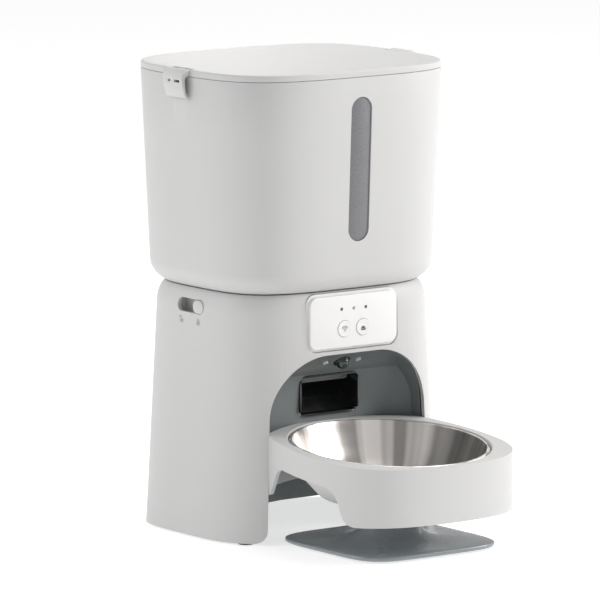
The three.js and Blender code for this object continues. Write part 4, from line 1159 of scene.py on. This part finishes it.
def arc_band(x, z, inner, outer, start, end, steps, stretch=1.0):
    """Points of a flat band along part of a ring, which may be stretched upwards."""
    angles = [start + (end - start) * k / steps for k in range(steps + 1)]
    there = [(x + outer * math.cos(a), z + outer * stretch * math.sin(a)) for a in angles]
    return there + [(x + inner * math.cos(a), z + inner * stretch * math.sin(a)) for a in reversed(angles)]


def arc_strip(name, centre, radius, width, start, end, y, steps=14):
    """A thin printed arc in X and Z, facing the front."""
    points = arc_band(centre.x, centre.z, radius - width / 2, radius + width / 2, start, end, steps)
    return prism(name, points, "Y", y - INK, y + INK)


def merged(name, pieces):
    """Joins pieces into one object without cutting them."""
    take(pieces[0])
    for piece in pieces[1:]:
        piece.select_set(True)
    bpy.ops.object.join()
    piece = bpy.context.object
    piece.name = name
    piece.data.name = name
    return piece


def wifi_glyph(middle, y):
    """Three arcs over a dot."""
    spot = Vector((middle.x, y, middle.z - 1.6 * MM))
    spread = math.radians(50)
    arcs = [
        arc_strip("arc", spot, r * MM, 0.6 * MM, math.pi / 2 - spread, math.pi / 2 + spread, y)
        for r in (1.5, 2.6, 3.7)
    ]
    dot = arc_strip("dot", spot, 0.3 * MM, 0.58 * MM, 0, 1.98 * math.pi, y, 20)
    return merged("wireless_pictogram", arcs + [dot])


def bowl_glyph(middle, y):
    """A dish with a heap of food in it."""
    x, z = middle.x, middle.z - 1 * MM
    crest = (x - 0.3 * MM, z + 1.9 * MM, (x + 1.4 * MM, z + 1.6 * MM), (x - 1.2 * MM, z + 2 * MM))
    heap = prism("heap", [(x - 2.1 * MM, z), (x + 2.1 * MM, z), crest], "Y", y - INK, y + INK, 8)
    brim, foot = z - 0.3 * MM, z - 1.5 * MM
    points = [(x - 2.6 * MM, brim), (x - 1.9 * MM, foot), (x + 1.9 * MM, foot), (x + 2.6 * MM, brim)]
    dish = prism("dish", points, "Y", y - INK, y + INK)
    return merged("food_pictogram", [heap, dish])


class FEEDER_OT_lock(bpy.types.Operator):
    """The lock slider and the two small padlock pictograms below it"""

    bl_idname = "feeder.lock"
    bl_label = "Lock"

    def execute(self, context):
        recast("lock_knob", "lock_slider", 0.7 * MM, "shell", "lock", "white_plastic", 50)
        z = LOCK_Z - 12 * MM
        for side, swing in ((-1, 0.0), (1, 1.1 * MM)):
            y = AXIS_Y + side * 11 * MM
            ring = between(floor_ring(), shoulder_ring(), z)
            x = -ring.half_x + 0.25 * MM
            self.padlock(f"padlock_pictogram_{'shut' if side < 0 else 'open'}", x, y, z, swing)
        return {"FINISHED"}

    @staticmethod
    def padlock(name, x, y, z, lift):
        """A box and a shackle, raised a little from the wall; the open one's shackle stands to one side."""
        thin = 0.35 * MM
        low, high = z - 2.2 * MM, z + 0.8 * MM
        points = [(y - 2 * MM, low), (y + 2 * MM, low), (y + 2 * MM, high), (y - 2 * MM, high)]
        box = prism("box", points, "X", x - thin, x + thin)
        points = arc_band(y + lift * 1.6, high + lift * 0.4, 1.0 * MM, 1.6 * MM, 0, math.pi, 12, 1.2)
        shackle = prism("shackle", points, "X", x - thin, x + thin)
        piece = merged(name, [box, shackle])
        finish(piece, "faint", "base", "white_plastic")


def in_tray(piece):
    """Tilts a piece made about Z, with the bowl's rim at height 0, to its place in the tray."""
    s = sizes()
    piece.rotation_euler = (s.tilt, 0, 0)
    piece.location = (0, BOWL_Y, s.rim_z)
    return settle(piece)


def bowl_wall(outside):
    """Points of the bowl's wall from its base to under its rim, moved outwards."""
    s = sizes()
    r, depth, wall = s.bowl_radius, s.bowl_depth, 1.2 * MM
    return [
        (r * 0.46 + outside * 0.3, -depth + wall - outside),
        (r * 0.66 + outside * 0.7, -depth * 0.86 - outside * 0.7),
        (r * 0.84 + outside, -depth * 0.55 - outside * 0.3),
        (r * 0.93 + outside, -depth * 0.2),
        (r * 0.96 + outside, -2.8 * MM),
    ]


class FEEDER_OT_bowl(bpy.types.Operator):
    """The spun steel bowl with its rolled rim"""

    bl_idname = "feeder.bowl"
    bl_label = "Bowl"

    def execute(self, context):
        s = sizes()
        r, wall = s.bowl_radius, 1.2 * MM
        inside = bowl_wall(0)
        outside = bowl_wall(wall)
        profile = [(0, outside[0][1])] + outside
        profile += [(r - 0.9 * MM, -2.6 * MM), (r, -2.0 * MM), (r, -0.7 * MM)]
        profile += [(r - 0.8 * MM, 0), (r * 0.975, 0)]
        profile += inside[::-1] + [(0, -s.bowl_depth + wall)]
        bowl = turned("steel_bowl", rounded_profile(profile, 9 * MM, 8), 144)
        in_tray(bowl)
        shade(bowl, 50)
        finish(bowl, "steel", "bowl", "bowl_steel", "food_bowl")
        return {"FINISHED"}


def tray_points(amount):
    """The tray's outline in X and Y: parallel sides, a round nose and a bowed rear edge."""
    half = TRAY_HIGH.x - amount
    front = TRAY_LOW.y + amount
    rear_half = sizes().arch_half - 0.4 * MM - amount
    rear = TRAY_REAR_Y - amount
    side = BOWL_Y - 10 * MM
    bow = 24.5 * MM
    nose = half * 0.7
    return [
        (-rear_half, rear, (-rear_half * 0.333, rear + bow * 4 / 3), (-half + 4 * MM, rear - 24 * MM)),
        (-half, side, (-half, rear - 44 * MM), (-half, BOWL_Y - 66 * MM)),
        (0, front, (-nose, front), (nose, front)),
        (half, side, (half, BOWL_Y - 66 * MM), (half, rear - 44 * MM)),
        (rear_half, rear, (half - 4 * MM, rear - 24 * MM), (rear_half * 0.333, rear + bow * 4 / 3)),
    ]


class FEEDER_OT_tray(bpy.types.Operator):
    """The tray with its skirt, its seat for the bowl, and the pedestal under it"""

    bl_idname = "feeder.tray"
    bl_label = "Tray"

    def execute(self, context):
        self.tray()
        self.pedestal()
        return {"FINISHED"}

    @staticmethod
    def top_at(y):
        """Height of the tray's tilted top."""
        s = sizes()
        return s.rim_z + 0.4 * MM + (y - BOWL_Y) * math.tan(s.tilt)

    def tray(self):
        top = self.top_at
        rear = TRAY_REAR_Y
        back, front = rear + 34.5 * MM, TRAY_LOW.y - 5 * MM
        side, tip, rear_skirt, skirt = 19.5 * MM, 40 * MM, 45 * MM, TRAY_LOW.z + 0.4 * MM
        drop_y, skirt_y = TRAY_LOW.y + 42 * MM, TRAY_LOW.y + 34.5 * MM
        notch_y = rear - 27 * MM
        profile = rounded_outline(
            [
                (back, top(back), 0),
                (back, rear_skirt, 0),
                (rear + 0.5 * MM, rear_skirt, 0),
                (rear, tip, 3 * MM),
                (rear - 9 * MM, tip, 4 * MM),
                (notch_y, top(notch_y) - side, 8 * MM),
                (drop_y + 2 * MM, top(drop_y) - side, 12 * MM),
                (skirt_y, skirt, 9 * MM),
                (front, skirt, 0),
                (front, top(front), 0),
            ]
        )
        plate = 3 * MM
        under = [(back, top(back) - plate), (back, 0), (front, 0), (front, top(front) - plate)]
        body = prism("tray_body", tray_points(0), "Z", 0, 0.12, 26)
        meet(body, prism("profile", profile, "X", -0.12, 0.12))
        hollow = prism("hollow", tray_points(2.5 * MM), "Z", -0.001, 0.121, 26)
        meet(hollow, prism("under", under, "X", -0.121, 0.121))
        cut(body, hollow)
        inside, outside = self.seat()
        join(body, in_tray(turned("tub", outside, 144)))
        cut(body, in_tray(turned("seat", inside, 144)))
        shade(tidy(body), 35)
        finish(body, "shell", "tray", "white_plastic", "bowl_tray")

    @staticmethod
    def seat():
        """Points of the hollow that takes the bowl, and of the tub round it."""
        radius = sizes().bowl_radius
        clearance, skin = 1.2 * MM, 2 * MM
        hole = radius + 1.1 * MM
        ledge = -3.2 * MM
        near = 1.2 * MM + clearance
        inner, outer = bowl_wall(near)[:4], bowl_wall(near + skin)[:4]
        inside = [(0, inner[0][1])] + inner + [(radius - 1.4 * MM, ledge), (hole, ledge)]
        inside += [(hole, -0.9 * MM), (hole + 0.9 * MM, 0.1 * MM), (hole + 1.2 * MM, 1.2 * MM)]
        inside += [(hole + 1.2 * MM, 12 * MM), (0, 12 * MM)]
        outside = [(0, outer[0][1])] + outer
        outside += [(hole + 0.6 * MM, ledge - 2.4 * MM), (hole + 0.6 * MM, -1 * MM), (0, -1 * MM)]
        return inside, outside

    @staticmethod
    def pedestal():
        s = sizes()
        half = COLUMN_HIGH.x
        low = COLUMN_LOW.z
        top = low + 3.5 * MM

        def ring(z, reach, power=5.0):
            return Ring(z, reach, reach, power, BOWL_Y)

        neck, head = 24.5 * MM, 37 * MM
        crown = s.rim_z - s.bowl_depth
        stand = loft(
            "tray_stand",
            [
                ring(low, half - 1.2 * MM),
                ring(low + 0.5 * MM, half - 0.3 * MM),
                ring(low + 1.2 * MM, half),
                ring(top - 1 * MM, half),
                ring(top - 0.4 * MM, half - 0.35 * MM),
                ring(top, half - 1.3 * MM),
                ring(top + 0.2 * MM, 56 * MM, 4),
                ring(top + 1 * MM, neck + 19 * MM, 2.6),
                ring(top + 2.2 * MM, neck + 12 * MM, 2.15),
                ring(top + 4.6 * MM, neck + 6 * MM, 2),
                ring(top + 7.5 * MM, neck + 2.2 * MM, 2),
                ring(top + 11 * MM, neck + 0.3 * MM, 2),
                ring(top + 14 * MM, neck + 1 * MM, 2),
                ring(top + 18 * MM, neck + 5 * MM, 2),
                ring(top + 22 * MM, head, 2),
                ring(crown + 10 * MM, head, 2),
            ],
        )
        tub_bottom = bowl_wall(4.4 * MM)[0][1] - 0.5 * MM
        above = rod("above", (0, 0, tub_bottom + 0.02), s.bowl_radius, 0.04)
        cut(stand, in_tray(above))
        shade(tidy(stand), 35)
        finish(stand, "grey", "tray", "grey_plastic", "tray_pedestal")
        recast("stand_pad", "pedestal_pad", 0.3 * MM, "rubber", "tray", "rubber")


INNER_FINISHES = {
    "dark": ["bottom_cover", "battery_cover"],
    "grey": ["food_rotor"],
    "black": ["power_inlet", "speaker"],
    "inner": ["dispenser_deck", "motor_bracket", "battery_box", "lock_housing"],
    "gear": ["drive_gear", "motor_pinion"],
    "rubber": ["hopper_seal", "lid_seal"],
    "board": ["main_board", "panel_board"],
    "cell": ["battery_1", "battery_2", "battery_3"],
    "zinc": ["rotor_shaft", "gear_motor", "latch_pin_left", "latch_pin_right", "battery_screw"],
}


class FEEDER_OT_works(bpy.types.Operator):
    """Finishes for the covers, rotor, gears, motor, boards, cells, seals and screws of the frame"""

    bl_idname = "feeder.works"
    bl_label = "Works and covers"

    def execute(self, context):
        groups = dict(INNER_FINISHES)
        groups["zinc"] = groups["zinc"] + [f"cover_screw_{k}" for k in range(1, 5)]
        for finish_name, nodes in groups.items():
            for node in nodes:
                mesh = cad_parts[node].data
                mesh.materials.clear()
                mesh.materials.append(material(finish_name))
        return {"FINISHED"}


class FEEDER_PT_sidebar(bpy.types.Panel):
    """The feeder's pieces, in the order they are made"""

    bl_label = "Automatic Pet Feeder"
    bl_idname = "FEEDER_PT_sidebar"
    bl_space_type = "VIEW_3D"
    bl_region_type = "UI"
    bl_category = "Feeder"

    def draw(self, context):
        for operator in OPERATORS:
            self.layout.operator(operator.bl_idname)
        for group in (context.scene.feeder_sizes, context.scene.feeder_finish):
            box = self.layout.box()
            for name in group.__annotations__:
                box.prop(group, name)


OPERATORS = (
    FEEDER_OT_stage,
    FEEDER_OT_base,
    FEEDER_OT_niche,
    FEEDER_OT_panel,
    FEEDER_OT_lock,
    FEEDER_OT_hopper,
    FEEDER_OT_lid,
    FEEDER_OT_latches,
    FEEDER_OT_tray,
    FEEDER_OT_bowl,
    FEEDER_OT_works,
)
CLASSES = (FeederSizes, FeederFinish) + OPERATORS + (FEEDER_PT_sidebar,)


def register():
    for cls in CLASSES:
        bpy.utils.register_class(cls)
    bpy.types.Scene.feeder_sizes = PointerProperty(type=FeederSizes)
    bpy.types.Scene.feeder_finish = PointerProperty(type=FeederFinish)


def unregister():
    del bpy.types.Scene.feeder_finish
    del bpy.types.Scene.feeder_sizes
    for cls in reversed(CLASSES):
        bpy.utils.unregister_class(cls)


def main():
    register()
    for operator in OPERATORS:
        group, name = operator.bl_idname.split(".")
        getattr(getattr(bpy.ops, group), name)()


if __name__ == "__main__":
    main()
